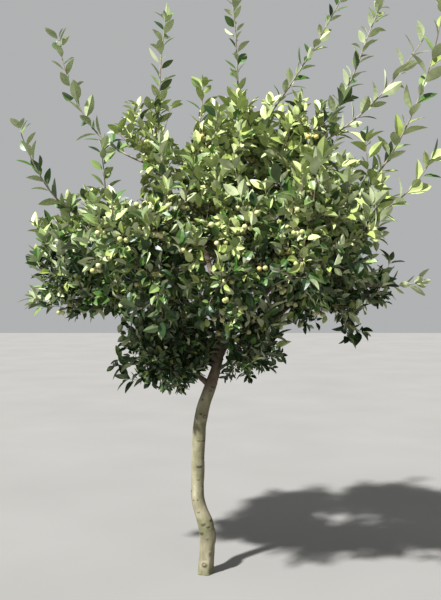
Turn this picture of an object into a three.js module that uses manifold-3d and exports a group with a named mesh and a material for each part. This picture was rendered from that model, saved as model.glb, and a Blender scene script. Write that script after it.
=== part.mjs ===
// A young Mexican hawthorn (tejocote) grown as a small orchard tree, in millimetres.
// +Z is up, +X is to the right of a viewer who stands at -Y, and the origin is the middle
// of the flat cut through the foot of the trunk, at ground level.
// Each bough starts on the trunk or on another bough and carries one mass of foliage.
// Each mass is one fused solid: a stem, the twigs that a seeded rule grows from it, their
// leaves and a pome, and on some masses one or more long upright water shoots.

import * as THREE from "three";
import { mergeVertices } from "three/addons/utils/BufferGeometryUtils.js";
import Module from "manifold-3d";

const wasm = await Module();
wasm.setup();

// Trunk: radii at the foot, above the elbow and at the fork
const FORK_HEIGHT = 1292;
const FOOT_RADIUS = 41.5;
const MIDDLE_RADIUS = 34.5;
const FORK_RADIUS = 24.5;
const ELBOW_TAPER = [260, 400];
const FORK_TAPER = [900, 1230];
// Its centre line's moves to the right and to the back: how far, and between which heights
const TRUNK_SHIFTS = {
  foot: [10, 0, 180], elbow: [-53, 190, 440], lean: [10, 560, 820], upper: [113, 780, 1260],
};
const TRUNK_DEPTHS = { back: [12, 150, 500], front: [-12, 700, 1200] };
const SLOPE_STEP = 5;
const ROOT_FLARE = 3;
const FLARE_HEIGHT = 32;
const FLARE_LOBES = 5;
const LOBE_DEPTH = 0.1;
const TRUNK_SIDES = 12;
const TRUNK_RINGS = 16;
const RING_CROWDING = 1.25;

// Boughs
const BOUGH_SIDES = 6;
const BOUGH_RINGS = 6;
const BOUGH_SWAY = 0.035;

// Stems, twigs and water shoots
const WIDEST_STEM = 9;
const STEM_END_RADIUS = 3.6;
const STEM_SIDES = 4;
const STEM_RINGS = 4;
const STEM_RISE = 0.3;
const TWIG_RADII = [3.2, 1.8];
const TWIG_RINGS = 3;
const TWIG_SWAY = 0.03;
const TWIG_SAG = 0.12;
const SAG_SHARES = [0.4, 1.4];
const TWIGS_PER_MASS = 10;
const TWIG_TURNS = [0, 0.6];
const TWIG_DEPTHS = [0.78, 1];
const TWIG_LEAD = 0.35;
const TWIG_ROOTS = [0.08, 0.95];
const TWIG_TRIES = [1, 0.85, 0.7, 0.55];
const TWIG_TESTS = [0.25, 0.4, 0.55, 0.7, 0.85, 1];
const SHORTEST_TWIG = 60;
const SHOOT_RADII = [6.5, 2.4];
const SHOOT_RINGS = 6;
const SHOOT_SWAY = 0.012;
const SHOOT_LEAVES_FROM = 0.22;
const SHOOT_SPREAD = 105;
const SLENDER_SIDES = 3;

// Leaves and fruit. A crown leaf here stands for a spray, so it is larger than life.
const LEAF = { length: 222, width: 128, step: 15, spacing: 50 };
const SHOOT_LEAF = { length: 118, width: 50, step: 78, spacing: 40 };
const LEAF_WIDEST = 0.48;
const LEAF_FOLD = 0.04;
const LEAF_ANGLE = THREE.MathUtils.degToRad(52);
const ANGLE_SHARES = [0.8, 1.15];
const SIZE_SHARES = [0.85, 1.12];
const TIP_LEAF_ANGLE = THREE.MathUtils.degToRad(9);
const LEAF_SINK = 0.8;
const TIP_LEAF_SINK = 6;
const TIP_LEAF_SHARE = 0.65;
const BARE_TWIG = 0.25;
const OVERHANG = 80;
const NEIGHBOUR_REACH = 1.2 * LEAF.length;
const FRUIT_RADIUS = 14;
const FRUIT_PLACES = [0.55, 0.85];
const GOLDEN_ANGLE = Math.PI * (3 - Math.sqrt(5));

// Clearances: between solids that meet end to end, round a limb's axis for twigs and leaves,
// between solids that pass each other, and at the walls of a mass's space
const JOINT_GAP = 0.3;
const LIMB_ROOM = 9;
const SOLID_ROOM = 3;
const WALL_ROOM = 3;
const LEAF_ROOM = 1;
const SLIVER = 0.05;

// Seeded draws
const DRAW_FACTOR = 16807;
const DRAW_MODULUS = 2147483647;
const TWIG_SEED = 1000;
const LEAF_SEED = 5000;
const FRUIT_SEED = 9000;
const SEED_STEP = 37;

// Boughs: each grows on the trunk, at a height, or on another bough, at a share of its length.
// Its middle is offset by bow from the straight line to its tip.
const BOUGHS = {
  leader: { on: "trunk", at: FORK_HEIGHT, tip: [-100, 50, 1990], radii: [24, 9] },
  right: { on: "trunk", at: 1210, tip: [500, -40, 2010], bow: [0, 0, -60], radii: [21, 9] },
  top: { on: "leader", at: 0.36, tip: [180, 20, 2110], bow: [30, 0, -20], radii: [15, 8] },
  upper_left: { on: "leader", at: 0.7, tip: [-235, 90, 2190], bow: [0, 0, -30], radii: [12, 8] },
  mid_left: { on: "leader", at: 0.48, tip: [-390, 40, 1800], bow: [0, 0, -10], radii: [13, 8] },
  left: { on: "trunk", at: 1170, tip: [-500, -110, 1570], bow: [-30, 0, 80], radii: [18, 9] },
  low_left: { on: "trunk", at: 1030, tip: [-230, 20, 1260], bow: [-25, 0, 10], radii: [13, 8] },
  low_right: { on: "right", at: 0.22, tip: [520, 10, 1520], bow: [20, 0, -40], radii: [14, 8] },
  far_right: { on: "right", at: 0.52, tip: [650, -110, 1880], bow: [0, 0, -30], radii: [13, 8] },
  front: { on: "trunk", at: 1220, tip: [125, -360, 1660], bow: [10, 30, 30], radii: [15, 8] },
  front_left: { on: "leader", at: 0.2, tip: [-210, -370, 1690], bow: [-20, -40, -20], radii: [13, 8] },
  front_right: { on: "right", at: 0.3, tip: [440, -380, 1740], bow: [20, -30, -20], radii: [13, 8] },
  low_front: { on: "trunk", at: 1110, tip: [180, -90, 1240], bow: [10, -15, -10], radii: [9, 6] },
  back: { on: "leader", at: 0.28, tip: [140, 380, 1880], bow: [0, 40, -30], radii: [15, 8] },
  back_left: { on: "trunk", at: 1140, tip: [-240, 360, 1560], bow: [-20, 40, -20], radii: [15, 8] },
  back_right: { on: "right", at: 0.16, tip: [480, 380, 1680], bow: [20, 40, -30], radii: [14, 8] },
};

// Masses of foliage, by the bough that carries each: the middle and half-sizes of its space,
// and its water shoots, each with the share of the stem's length that it leaves from.
const MASSES = [
  { name: "leader", centre: [20, 90, 2225], reach: [185, 320, 295], shoots: [
    { from: 0.7, tip: [-15, 60, 2694], bow: [10, 0, 0] }] },
  { name: "right", centre: [480, -60, 2270], reach: [250, 330, 285], shoots: [
    { from: 0.45, tip: [1030, 140, 3270], bow: [30, 0, 30] },
    { from: 0.8, tip: [1175, -100, 2906], bow: [30, 0, -60] },
    { from: 0.7, tip: [511, 0, 2583], bow: [-20, 0, 0] }] },
  { name: "top", centre: [175, 10, 2285], reach: [260, 330, 270], shoots: [
    { from: 0.6, tip: [139, -60, 3185], bow: [20, 0, -10] },
    { from: 0.75, tip: [752, -220, 3150], bow: [20, 0, -30] }] },
  { name: "upper_left", centre: [-270, 80, 2315], reach: [190, 230, 245], shoots: [
    { from: 0.5, tip: [-228, 150, 3102], bow: [-20, 0, 0] },
    { from: 0.3, tip: [-849, 200, 2999], bow: [-100, 0, -130] }] },
  { name: "mid_left", centre: [-590, 60, 1830], reach: [300, 330, 200], shoots: [
    { from: 0.8, tip: [-972, -180, 2394], bow: [-60, 0, -60] },
    { from: 0.6, tip: [-560, -60, 2310], bow: [-10, 0, 0] }] },
  { name: "left", centre: [-580, -90, 1610], reach: [325, 350, 280], shoots: [] },
  { name: "low_left", centre: [-195, 40, 1270], reach: [290, 320, 300], shoots: [] },
  { name: "low_right", centre: [670, 0, 1600], reach: [330, 360, 265], shoots: [
    { from: 0.8, tip: [1130, -150, 1590], bow: [0, 0, -40] }] },
  { name: "far_right", centre: [700, -130, 1940], reach: [250, 350, 250], shoots: [
    { from: 0.7, tip: [1160, -520, 2930], bow: [70, 0, -130] },
    { from: 0.5, tip: [1117, -420, 2180], bow: [30, -20, -90] }] },
  { name: "front", centre: [115, -430, 1710], reach: [290, 310, 390], shoots: [] },
  { name: "front_left", centre: [-270, -470, 1730], reach: [310, 300, 320], shoots: [] },
  { name: "front_right", centre: [520, -460, 1800], reach: [310, 300, 320], shoots: [] },
  { name: "low_front", centre: [215, -110, 1290], reach: [230, 290, 265], shoots: [] },
  { name: "back", centre: [140, 490, 2010], reach: [330, 320, 340], shoots: [
    { from: 0.7, tip: [210, 640, 2700], bow: [0, 20, 0] }] },
  { name: "back_left", centre: [-310, 460, 1700], reach: [330, 320, 330], shoots: [] },
  { name: "back_right", centre: [560, 480, 1800], reach: [340, 320, 330], shoots: [
    { from: 0.8, tip: [860, 760, 2420], bow: [20, 0, -30] }] },
];
const CROWN_CENTRE = new THREE.Vector3(80, 0, 1500);

const { clamp, lerp, smoothstep } = THREE.MathUtils;
const vector = (xyz) => new THREE.Vector3(...xyz);

// A multiplying generator with a fixed seed, so that the tree grows the same every time.
function seeded(seed) {
  let state = seed;
  return (low = 0, high = 1) => {
    state = (state * DRAW_FACTOR) % DRAW_MODULUS;
    return lerp(low, high, state / DRAW_MODULUS);
  };
}

// A limb's centre line. Its middle is offset from the straight line by bow, and it sways to
// both sides by a share of its length, which fades out at its ends.
class LimbCurve extends THREE.QuadraticBezierCurve3 {
  constructor(start, end, bow, sway = 0) {
    super(start, start.clone().lerp(end, 0.5).addScaledVector(bow, 2), end);
    this.span = start.distanceTo(end);
    this.sway = new THREE.Vector3(start.y - end.y, end.x - start.x, 0.4 * this.span)
      .setLength(sway * this.span);
  }

  getPoint(t, target = new THREE.Vector3()) {
    const hump = 4 * t * (1 - t);
    return super.getPoint(t, target)
      .addScaledVector(this.sway, hump * hump * Math.sin(3 * Math.PI * t));
  }
}

// The bow that makes a line from start to end set off in the given direction.
function bowFor(start, end, direction) {
  const along = end.clone().sub(start);
  return direction.clone().multiplyScalar(along.length()).sub(along).multiplyScalar(0.25);
}

// A closed tube over rings of {centre, direction, radius}, with a flat cap at each end.
// outline(angle, centre) scales the radius round a ring.
function tube(rings, sides, outline = () => 1) {
  const positions = [];
  const index = [];
  const side = new THREE.Vector3(1, 0, 0);
  rings.forEach(({ centre, direction, radius }, r) => {
    side.addScaledVector(direction, -side.dot(direction)).normalize();
    const up = direction.clone().cross(side);
    for (let s = 0; s < sides; s++) {
      const angle = (2 * Math.PI * s) / sides;
      const reach = radius * outline(angle, centre);
      const p = centre.clone().addScaledVector(side, reach * Math.cos(angle))
        .addScaledVector(up, reach * Math.sin(angle));
      positions.push(p.x, p.y, p.z);
      if (r === 0) continue;
      const a = (r - 1) * sides + s;
      const b = (r - 1) * sides + ((s + 1) % sides);
      index.push(a, b, b + sides, a, b + sides, a + sides);
    }
  });
  const last = (rings.length - 1) * sides;
  for (let s = 1; s < sides - 1; s++) {
    index.push(0, s + 1, s);
    index.push(last, last + s, last + s + 1);
  }
  return new THREE.BufferGeometry()
    .setAttribute("position", new THREE.Float32BufferAttribute(positions, 3)).setIndex(index);
}

// A tube along a curve that tapers from one radius to the other.
function taperedTube(curve, [startRadius, endRadius], ringCount, sides, extra = 0) {
  const rings = Array.from({ length: ringCount }, (_, i) => {
    const t = i / (ringCount - 1);
    const radius = lerp(startRadius, endRadius, t) + extra;
    return { centre: curve.getPoint(t), direction: curve.getTangent(t), radius };
  });
  return tube(rings, sides);
}

function solidOf(geometry) {
  const bare = geometry.clone();
  bare.deleteAttribute("normal");
  bare.deleteAttribute("uv");
  const merged = mergeVertices(bare, 1e-4);
  return new wasm.Manifold(new wasm.Mesh({
    numProp: 3,
    vertProperties: merged.attributes.position.array,
    triVerts: new Uint32Array(merged.index.array),
  }));
}

const isClear = (solid, other, room) => other.minGap(solid, room) >= room;

// The largest piece of a solid once the slivers along its seams are smoothed away. This
// drops loose scraps and fills sealed hollows.
function largest(solid) {
  const pieces = solid.simplify(SLIVER).decompose();
  return pieces.reduce((a, b) => (a.volume() > b.volume() ? a : b));
}

// The trunk's centre line leans right, steps left at the elbow, and leans right again, ever
// more, up to the fork.
function trunkCentre(height) {
  const moved = (shifts) => Object.values(shifts)
    .reduce((sum, [far, low, high]) => sum + far * smoothstep(height, low, high), 0);
  return new THREE.Vector3(moved(TRUNK_SHIFTS), moved(TRUNK_DEPTHS), height);
}

function trunkRadius(height) {
  const lower = lerp(FOOT_RADIUS, MIDDLE_RADIUS, smoothstep(height, ...ELBOW_TAPER));
  const thinning = (MIDDLE_RADIUS - FORK_RADIUS) * smoothstep(height, ...FORK_TAPER);
  return lower - thinning + ROOT_FLARE * Math.exp(-height / FLARE_HEIGHT);
}

// Trunk, from the flat cut at the ground to the flat end under the fork
function trunkGeometry(extra = 0) {
  const rings = Array.from({ length: TRUNK_RINGS }, (_, i) => {
    const height = FORK_HEIGHT * Math.pow(i / (TRUNK_RINGS - 1), RING_CROWDING);
    const flat = i === 0 || i === TRUNK_RINGS - 1;
    const slope = trunkCentre(height + SLOPE_STEP).sub(trunkCentre(height - SLOPE_STEP)).normalize();
    const direction = flat ? new THREE.Vector3(0, 0, 1) : slope;
    return { centre: trunkCentre(height), direction, radius: trunkRadius(height) + extra };
  });
  const lobes = (angle, { z }) =>
    1 + LOBE_DEPTH * Math.cos(FLARE_LOBES * angle) * Math.exp(-z / (2 * FLARE_HEIGHT));
  return tube(rings, TRUNK_SIDES, lobes);
}

// Boughs' centre lines by name. The leader carries on from the top of the trunk, and the
// others leave the axis of their parent.
const boughCurves = new Map();
for (const [name, { on, at, tip, bow }] of Object.entries(BOUGHS)) {
  const end = vector(tip);
  const start = on === "trunk" ? trunkCentre(at) : boughCurves.get(on).getPoint(at);
  if (at === FORK_HEIGHT) start.z += JOINT_GAP;
  const offset = bow ? vector(bow) : bowFor(start, end, new THREE.Vector3(0, 0, 1));
  boughCurves.set(name, new LimbCurve(start, end, offset, BOUGH_SWAY));
}

// Limbs as short straight lengths, for testing what comes near them. Only twigs and leaves
// of the same owner may come near a length.
const limbLengths = [];
function addLengths(curve, [startRadius, endRadius], count, owner, from = 0) {
  for (let i = 0; i < count; i++) {
    const [t, next] = [i, i + 1].map((n) => lerp(from, 1, n / count));
    const line = new THREE.Line3(curve.getPoint(t), curve.getPoint(next));
    limbLengths.push({ line, radius: lerp(startRadius, endRadius, i / count), owner });
  }
}

const nearest = new THREE.Vector3();
const touchesLimb = (p, owner, room) => limbLengths.some((length) =>
  length.owner !== owner
  && length.line.closestPointToPoint(p, true, nearest).distanceTo(p) < length.radius + room);

// The walls of a mass's space stand half way to the middle of every other mass.
function wallsOf(mass) {
  const own = vector(mass.centre);
  return MASSES.filter((other) => other !== mass).map((other) => {
    const apart = vector(other.centre).sub(own);
    const middle = own.clone().addScaledVector(apart, 0.5);
    return new THREE.Plane().setFromNormalAndCoplanarPoint(apart.normalize(), middle);
  });
}
const isInside = (p, walls, room) => walls.every((wall) => wall.distanceToPoint(p) < -room);

// The stem carries on from its bough's tip to the upper middle of the mass.
function stemOf(mass) {
  const bough = boughCurves.get(mass.name);
  const heading = bough.getTangent(1);
  const start = bough.getPoint(1).addScaledVector(heading, JOINT_GAP);
  const end = vector(mass.centre).add(new THREE.Vector3(0, 0, STEM_RISE * mass.reach[2]));
  return new LimbCurve(start, end, bowFor(start, end, heading));
}

// Twigs reach evenly spread points inside the mass's outline, which their leaves overhang.
// One that would leave the mass's space or touch a limb is tried shorter, and then left out.
function twigsOf({ mass, stem, walls }, number) {
  const random = seeded(TWIG_SEED + SEED_STEP * number);
  const twigs = [];
  const foot = stem.getPoint(0);
  const axis = stem.getPoint(1).sub(foot);
  const isFree = (p) => isInside(p, walls, WALL_ROOM) && !touchesLimb(p, mass.name, LIMB_ROOM);
  for (let i = 0; i < TWIGS_PER_MASS; i++) {
    const height = 1 - (2 * i + 1) / TWIGS_PER_MASS;
    const turn = GOLDEN_ANGLE * i + random(...TWIG_TURNS);
    const width = Math.sqrt(1 - height * height);
    const depth = random(...TWIG_DEPTHS);
    const sag = TWIG_SAG * random(...SAG_SHARES);
    const outward = new THREE.Vector3(width * Math.cos(turn), width * Math.sin(turn), height)
      .multiply(vector(mass.reach).subScalar(OVERHANG)).multiplyScalar(depth);
    for (const share of TWIG_TRIES) {
      const tip = vector(mass.centre).addScaledVector(outward, share);
      const level = tip.clone().sub(foot).dot(axis) / axis.lengthSq() - TWIG_LEAD;
      const root = stem.getPoint(clamp(level, ...TWIG_ROOTS));
      const span = tip.distanceTo(root);
      const twig = new LimbCurve(root, tip, new THREE.Vector3(0, 0, -sag * span), TWIG_SWAY);
      if (span < SHORTEST_TWIG) break;
      if (!TWIG_TESTS.every((t) => isFree(twig.getPoint(t)))) continue;
      twigs.push(twig);
      break;
    }
  }
  return twigs;
}

// A leaf blade is a slim wedge: its midrib runs along the bottom and its two sides lift a
// little, which gives it thickness. Its root is sunk in the twig.
function leafCorners({ root, heading, normal, length, width }) {
  const side = heading.clone().cross(normal).normalize();
  const up = side.clone().cross(heading);
  const at = (along, across, rise) => root.clone().addScaledVector(heading, along * length)
    .addScaledVector(side, across * width).addScaledVector(up, rise * length);
  return [at(0, 0, 0), at(LEAF_WIDEST, 0.5, LEAF_FOLD), at(1, 0, -LEAF_FOLD),
    at(LEAF_WIDEST, -0.5, LEAF_FOLD)];
}

function leafGeometry(corners) {
  const positions = corners.flatMap((p) => p.toArray());
  return new THREE.BufferGeometry()
    .setAttribute("position", new THREE.Float32BufferAttribute(positions, 3))
    .setIndex([0, 2, 1, 0, 3, 2, 0, 1, 3, 2, 3, 1]);
}

// A leaf at share t of a twig, turned round the twig by a golden angle for each number. It
// faces out of the crown, more or less.
function leafOn(twig, t, number, { length, width }, random) {
  const direction = twig.getTangent(t);
  const side = new THREE.Vector3(direction.y, -direction.x, 0.2);
  side.addScaledVector(direction, -side.dot(direction)).normalize()
    .applyAxisAngle(direction, number * GOLDEN_ANGLE);
  const angle = t === 1 ? TIP_LEAF_ANGLE : LEAF_ANGLE * random(...ANGLE_SHARES);
  const heading = direction.clone().multiplyScalar(Math.cos(angle))
    .addScaledVector(side, Math.sin(angle));
  const tilt = new THREE.Vector3(random(-1, 1), random(-1, 1), random(-1, 1));
  const normal = twig.getPoint(1).sub(CROWN_CENTRE).normalize().add(tilt);
  const scale = random(...SIZE_SHARES) * (t === 1 ? TIP_LEAF_SHARE : 1);
  const root = twig.getPoint(t).addScaledVector(heading, t === 1 ? -TIP_LEAF_SINK : -LEAF_SINK);
  return { root, heading, normal, length: length * scale, width: width * scale };
}

// The leaves of a mass. One that would touch a limb, another twig or another leaf, or that
// would leave the mass's space from a crown twig, is left out.
function leavesOf({ mass, walls }, wood, number, limbs) {
  const random = seeded(LEAF_SEED + SEED_STEP * number);
  const leaves = [];
  const tryLeaf = (twig, t, count, kind) => {
    const corners = leafCorners(leafOn(twig, t, count, kind, random));
    const middle = corners[0].clone().lerp(corners[2], 0.5);
    if ([middle, ...corners.slice(1)].some((p) => touchesLimb(p, mass.name, LIMB_ROOM))) return;
    if (kind === LEAF && !corners.every((p) => isInside(p, walls, WALL_ROOM))) return;
    const near = leaves.filter((leaf) => leaf.middle.distanceTo(middle) < NEIGHBOUR_REACH);
    if (near.some((leaf) => leaf.middle.distanceTo(middle) < kind.spacing)) return;
    const solid = solidOf(leafGeometry(corners));
    const others = [...wood.filter(({ curve }) => curve !== twig), ...near];
    if (!isClear(solid, limbs, SOLID_ROOM)) return;
    if (others.every((other) => isClear(solid, other.solid, LEAF_ROOM))) leaves.push({ solid, middle });
  };
  for (const { curve, leafKind } of wood) {
    if (!leafKind) continue;
    const from = leafKind === LEAF ? BARE_TWIG : SHOOT_LEAVES_FROM;
    const count = Math.max(2, Math.floor((curve.span * (1 - from)) / leafKind.step));
    for (let i = 0; i <= count; i++) tryLeaf(curve, lerp(1, from, i / count), i, leafKind);
  }
  return leaves.map(({ solid }) => solid);
}

// One pome hangs from the first twig that has room for it.
function fruitOf({ mass, walls }, twigs, number, limbs) {
  const random = seeded(FRUIT_SEED + SEED_STEP * number);
  for (const { curve } of twigs) {
    const place = curve.getPoint(random(...FRUIT_PLACES));
    place.z -= 0.8 * FRUIT_RADIUS;
    const fruit = solidOf(new THREE.IcosahedronGeometry(FRUIT_RADIUS, 0).translate(...place));
    const isFree = isInside(place, walls, WALL_ROOM + FRUIT_RADIUS)
      && !touchesLimb(place, mass.name, LIMB_ROOM + FRUIT_RADIUS);
    if (isFree && isClear(fruit, limbs, SOLID_ROOM)) return [fruit];
  }
  return [];
}

// Stem, shoots, twigs, leaves and fruit of one mass, fused
function massSolid(frame, number, limbs) {
  const stemRadii = [BOUGHS[frame.mass.name].radii[1], STEM_END_RADIUS];
  const stemTube = taperedTube(frame.stem, stemRadii, STEM_RINGS, STEM_SIDES);
  const shoots = frame.shoots.map((curve) => {
    const solid = solidOf(taperedTube(curve, SHOOT_RADII, SHOOT_RINGS, SLENDER_SIDES));
    return { curve, solid, leafKind: SHOOT_LEAF };
  });
  const twigs = twigsOf(frame, number).map((curve) => {
    const solid = solidOf(taperedTube(curve, TWIG_RADII, TWIG_RINGS, SLENDER_SIDES));
    return { curve, solid, leafKind: LEAF };
  }).filter(({ solid }) => isClear(solid, limbs, SOLID_ROOM));
  const wood = [{ curve: frame.stem, solid: solidOf(stemTube) }, ...shoots, ...twigs];
  return largest(wasm.Manifold.union([
    ...wood.map(({ solid }) => solid),
    ...leavesOf(frame, wood, number, limbs),
    ...fruitOf(frame, twigs, number, limbs),
  ]));
}

// A named mesh whose own origin is the given place
function meshAt(name, solid, place, material) {
  const { vertProperties, triVerts } = solid.getMesh();
  const geometry = new THREE.BufferGeometry()
    .setAttribute("position", new THREE.BufferAttribute(vertProperties, 3))
    .setIndex(new THREE.BufferAttribute(triVerts, 1))
    .translate(-place.x, -place.y, -place.z);
  geometry.computeVertexNormals();
  const mesh = new THREE.Mesh(geometry, material);
  mesh.name = name;
  mesh.position.copy(place);
  return mesh;
}

const trunkBark = new THREE.MeshStandardMaterial({ color: 0x8c8468, roughness: 0.85 });
const boughBark = new THREE.MeshStandardMaterial({ color: 0x5e5140, roughness: 0.9 });
const foliage = new THREE.MeshStandardMaterial({ color: 0x4d6133, roughness: 0.55 });

// Adds the trunk and boughs, each cut clear of those before it, and returns them all as one
// solid that is a joint's gap larger.
function addLimbs(group) {
  group.add(meshAt("trunk", solidOf(trunkGeometry()), new THREE.Vector3(), trunkBark));
  let taken = solidOf(trunkGeometry(JOINT_GAP));
  for (const [name, { radii }] of Object.entries(BOUGHS)) {
    const curve = boughCurves.get(name);
    const boughTube = (extra) => solidOf(taperedTube(curve, radii, BOUGH_RINGS, BOUGH_SIDES, extra));
    const solid = largest(boughTube(0).subtract(taken));
    group.add(meshAt(`${name}_bough`, solid, curve.getPoint(0), boughBark));
    taken = taken.add(boughTube(JOINT_GAP));
    addLengths(curve, radii, 8, "boughs");
  }
  return taken;
}

// Adds the masses of foliage. Their stems and shoots are all known before any twig grows, so
// that every twig keeps clear of them.
function addFoliage(group, limbs) {
  const frames = MASSES.map((mass) => {
    const stem = stemOf(mass);
    const shoots = mass.shoots.map(({ from, tip, bow }) =>
      new LimbCurve(stem.getPoint(from), vector(tip), vector(bow), SHOOT_SWAY));
    return { mass, stem, shoots, walls: wallsOf(mass) };
  });
  for (const { mass, stem, shoots } of frames) {
    addLengths(stem, [WIDEST_STEM, STEM_END_RADIUS], 6, mass.name);
    for (const shoot of shoots) {
      addLengths(shoot, SHOOT_RADII, 4, mass.name);
      addLengths(shoot, [SHOOT_SPREAD, SHOOT_SPREAD], 8, mass.name, SHOOT_LEAVES_FROM);
    }
  }
  frames.forEach((frame, number) => {
    const solid = massSolid(frame, number, limbs);
    group.add(meshAt(`${frame.mass.name}_foliage`, solid, frame.stem.getPoint(0), foliage));
  });
}

const tree = new THREE.Group();
const limbGroup = new THREE.Group();
const crownGroup = new THREE.Group();
addFoliage(crownGroup, addLimbs(limbGroup));
tree.add(limbGroup, crownGroup);

export default tree;
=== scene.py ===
# A young Mexican hawthorn (tejocote) tree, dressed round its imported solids. Bark in relief
# replaces the trunk and boughs. On each mass of foliage the source's rule grows the same twigs
# again and carries them on to finer ones, which bear life-size leaves and fruit.
# Lengths are in millimetres, as in the source, until a mesh is made in metres.

import math
from collections import namedtuple

import bpy
import numpy as np
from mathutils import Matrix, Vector, noise


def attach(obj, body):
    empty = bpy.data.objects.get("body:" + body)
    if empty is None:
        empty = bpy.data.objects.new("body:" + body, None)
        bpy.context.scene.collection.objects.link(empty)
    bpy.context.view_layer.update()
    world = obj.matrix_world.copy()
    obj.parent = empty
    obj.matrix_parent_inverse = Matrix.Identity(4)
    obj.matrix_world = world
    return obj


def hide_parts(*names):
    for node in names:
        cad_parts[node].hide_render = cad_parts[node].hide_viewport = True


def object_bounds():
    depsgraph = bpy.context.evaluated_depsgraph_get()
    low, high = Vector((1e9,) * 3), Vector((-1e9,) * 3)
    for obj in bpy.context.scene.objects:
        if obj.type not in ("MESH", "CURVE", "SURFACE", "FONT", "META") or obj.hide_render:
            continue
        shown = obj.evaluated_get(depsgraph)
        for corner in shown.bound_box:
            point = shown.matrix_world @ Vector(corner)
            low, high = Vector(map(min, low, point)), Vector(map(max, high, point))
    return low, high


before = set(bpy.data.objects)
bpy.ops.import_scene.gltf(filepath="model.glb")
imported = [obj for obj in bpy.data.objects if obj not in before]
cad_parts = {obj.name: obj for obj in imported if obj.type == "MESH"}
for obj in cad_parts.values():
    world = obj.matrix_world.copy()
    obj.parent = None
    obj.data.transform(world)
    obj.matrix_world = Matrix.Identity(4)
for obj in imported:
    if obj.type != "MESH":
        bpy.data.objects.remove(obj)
cad_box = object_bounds()

METRES = 0.001
BOX_LOW, BOX_HIGH = (np.array(corner) / METRES for corner in cad_box)
RIGHT, BACK, UP = np.eye(3)
GOLDEN_ANGLE = math.pi * (3 - math.sqrt(5))

# Camera and light
CAMERA_PLACE = np.array([82.5, -4125.0, 1500.0])
CAMERA_LENS_MM = 45.0
CAMERA_SENSOR_MM = 36.0
SUN_FROM = (-0.6, -0.6, 1.05)
SUN_STRENGTH = 9.4
SUN_SPREAD = math.radians(3)
SKY_COLOUR = (0.97, 0.99, 1.0)
SKY_STRENGTH = 0.45
FLOOR_SIZE = 60000.0
FLOOR_TONES = ((0.202, 0.198, 0.187), (0.223, 0.216, 0.205))
FLOOR_ROUGHNESS = 0.9

# Trunk, as in the source: its radii, and how far its centre line moves to the right and to the
# back, each move between two heights
FORK_HEIGHT = 1292.0
FOOT_RADIUS = 41.5
MIDDLE_RADIUS = 34.5
FORK_RADIUS = 24.5
ELBOW_TAPER = (260, 400)
FORK_TAPER = (900, 1230)
TRUNK_SHIFTS = [(10, 0, 180), (-53, 190, 440), (10, 560, 820), (113, 780, 1260)]
TRUNK_DEPTHS = [(12, 150, 500), (-12, 700, 1200)]
SLOPE_STEP = 5
ROOT_FLARE = 3.0
FLARE_HEIGHT = 32.0
FLARE_LOBES = 5
LOBE_DEPTH = 0.1

# Slender wood and spaces, as in the source
SWAY_RISE = 0.4
HEADING_STEP = 1e-4
BOUGH_SWAY = 0.035
STEM_END_RADIUS = 3.6
WIDEST_STEM = 9.0
STEM_RISE = 0.3
JOINT_GAP = 0.3
TWIG_SWAY = 0.03
TWIG_SAG = 0.12
SAG_SHARES = (0.4, 1.4)
TWIGS_PER_MASS = 10
TWIG_TURNS = (0, 0.6)
TWIG_DEPTHS = (0.78, 1)
TWIG_LEAD = 0.35
TWIG_ROOTS = (0.08, 0.95)
TWIG_TRIES = (1, 0.85, 0.7, 0.55)
TWIG_TESTS = (0.25, 0.4, 0.55, 0.7, 0.85, 1)
SHORTEST_TWIG = 60.0
SHOOT_SWAY = 0.012
SHOOT_RADII = (6.5, 2.4)
SHOOT_LEAVES_FROM = 0.22
SHOOT_SPREAD = 105.0
OVERHANG = 80.0
LIMB_ROOM = 9.0
WALL_ROOM = 3.0
DRAW_FACTOR = 16807
DRAW_MODULUS = 2147483647
TWIG_SEED = 1000
SEED_STEP = 37
# How many straight lengths stand for each kind of limb, where what comes near it is tested
BOUGH_LENGTHS, STEM_LENGTHS, SHOOT_LENGTHS, LEAFY_LENGTHS = 8, 6, 4, 8

# Finer twigs: how many to the square of a mass's mean half-size, and how they are spread: in
# clumps, with hollows where smooth noise is low. They leave their hosts at shares of their
# length, sooner from a place that points towards them.
CLUMP_SIZE = 115.0
HOLLOW_BELOW = -0.12
FINE_DENSITY = 0.0034
FINE_OVERHANG = 35.0
FINE_CROWDING = 0.42
FINE_SWAY = 0.05
FINE_BOW = 0.05
FINE_ROOTS = np.linspace(0.12, 0.97, 12)
FINE_TESTS = (0.5, 1)
BEND_COST = 1.5
SHORTEST_FINE = 45.0
LONGEST_FINE = 260.0
OUTLINE_LUMPS = 0.32
OUTLINE_SIZE = 0.6
FINE_SEED = 20000
# Masses that are more open, or denser, than the rest: the share of finer twigs that they have
TWIG_SHARES = {"upper_left": 0.55, "right": 0.85, "leader": 1.15, "mid_left": 1.2, "low_left": 1.5,
               "back": 1.2, "back_left": 1.25}
# Gaps in the crown, as seen from the front: right of the origin, height, half-width and
# half-height, and the depth that the gap reaches from the front
CLEARINGS = [
    (-130, 2446, 95, 105, 900),
    (-225, 2655, 110, 75, 900),
    (-395, 2665, 125, 75, 900),
    (22, 1750, 42, 115, 0),
    (-20, 1985, 95, 55, 60),
    (-425, 2190, 88, 140, 900),
    (82, 1200, 27, 90, 0),
    (-550, 1260, 72, 135, 900),
]
# Young upright twigs that stand out of each mass
SPRIGS_PER_MASS = 20
SPRIG_REACH = (0.98, 1.2)
SPRIG_LENGTHS = (70.0, 240.0)
SPRIG_RISE = 0.7
SPRIG_SAG = 0.08
SPRIG_ROOTS = (0.5, 0.75, 0.95)
SPRIG_SEED = 60000
# Tints of leaves, as LEAF_TINTS lists them
DARK, GREEN, GREY, OLIVE, YOUNG = range(5)
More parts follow.
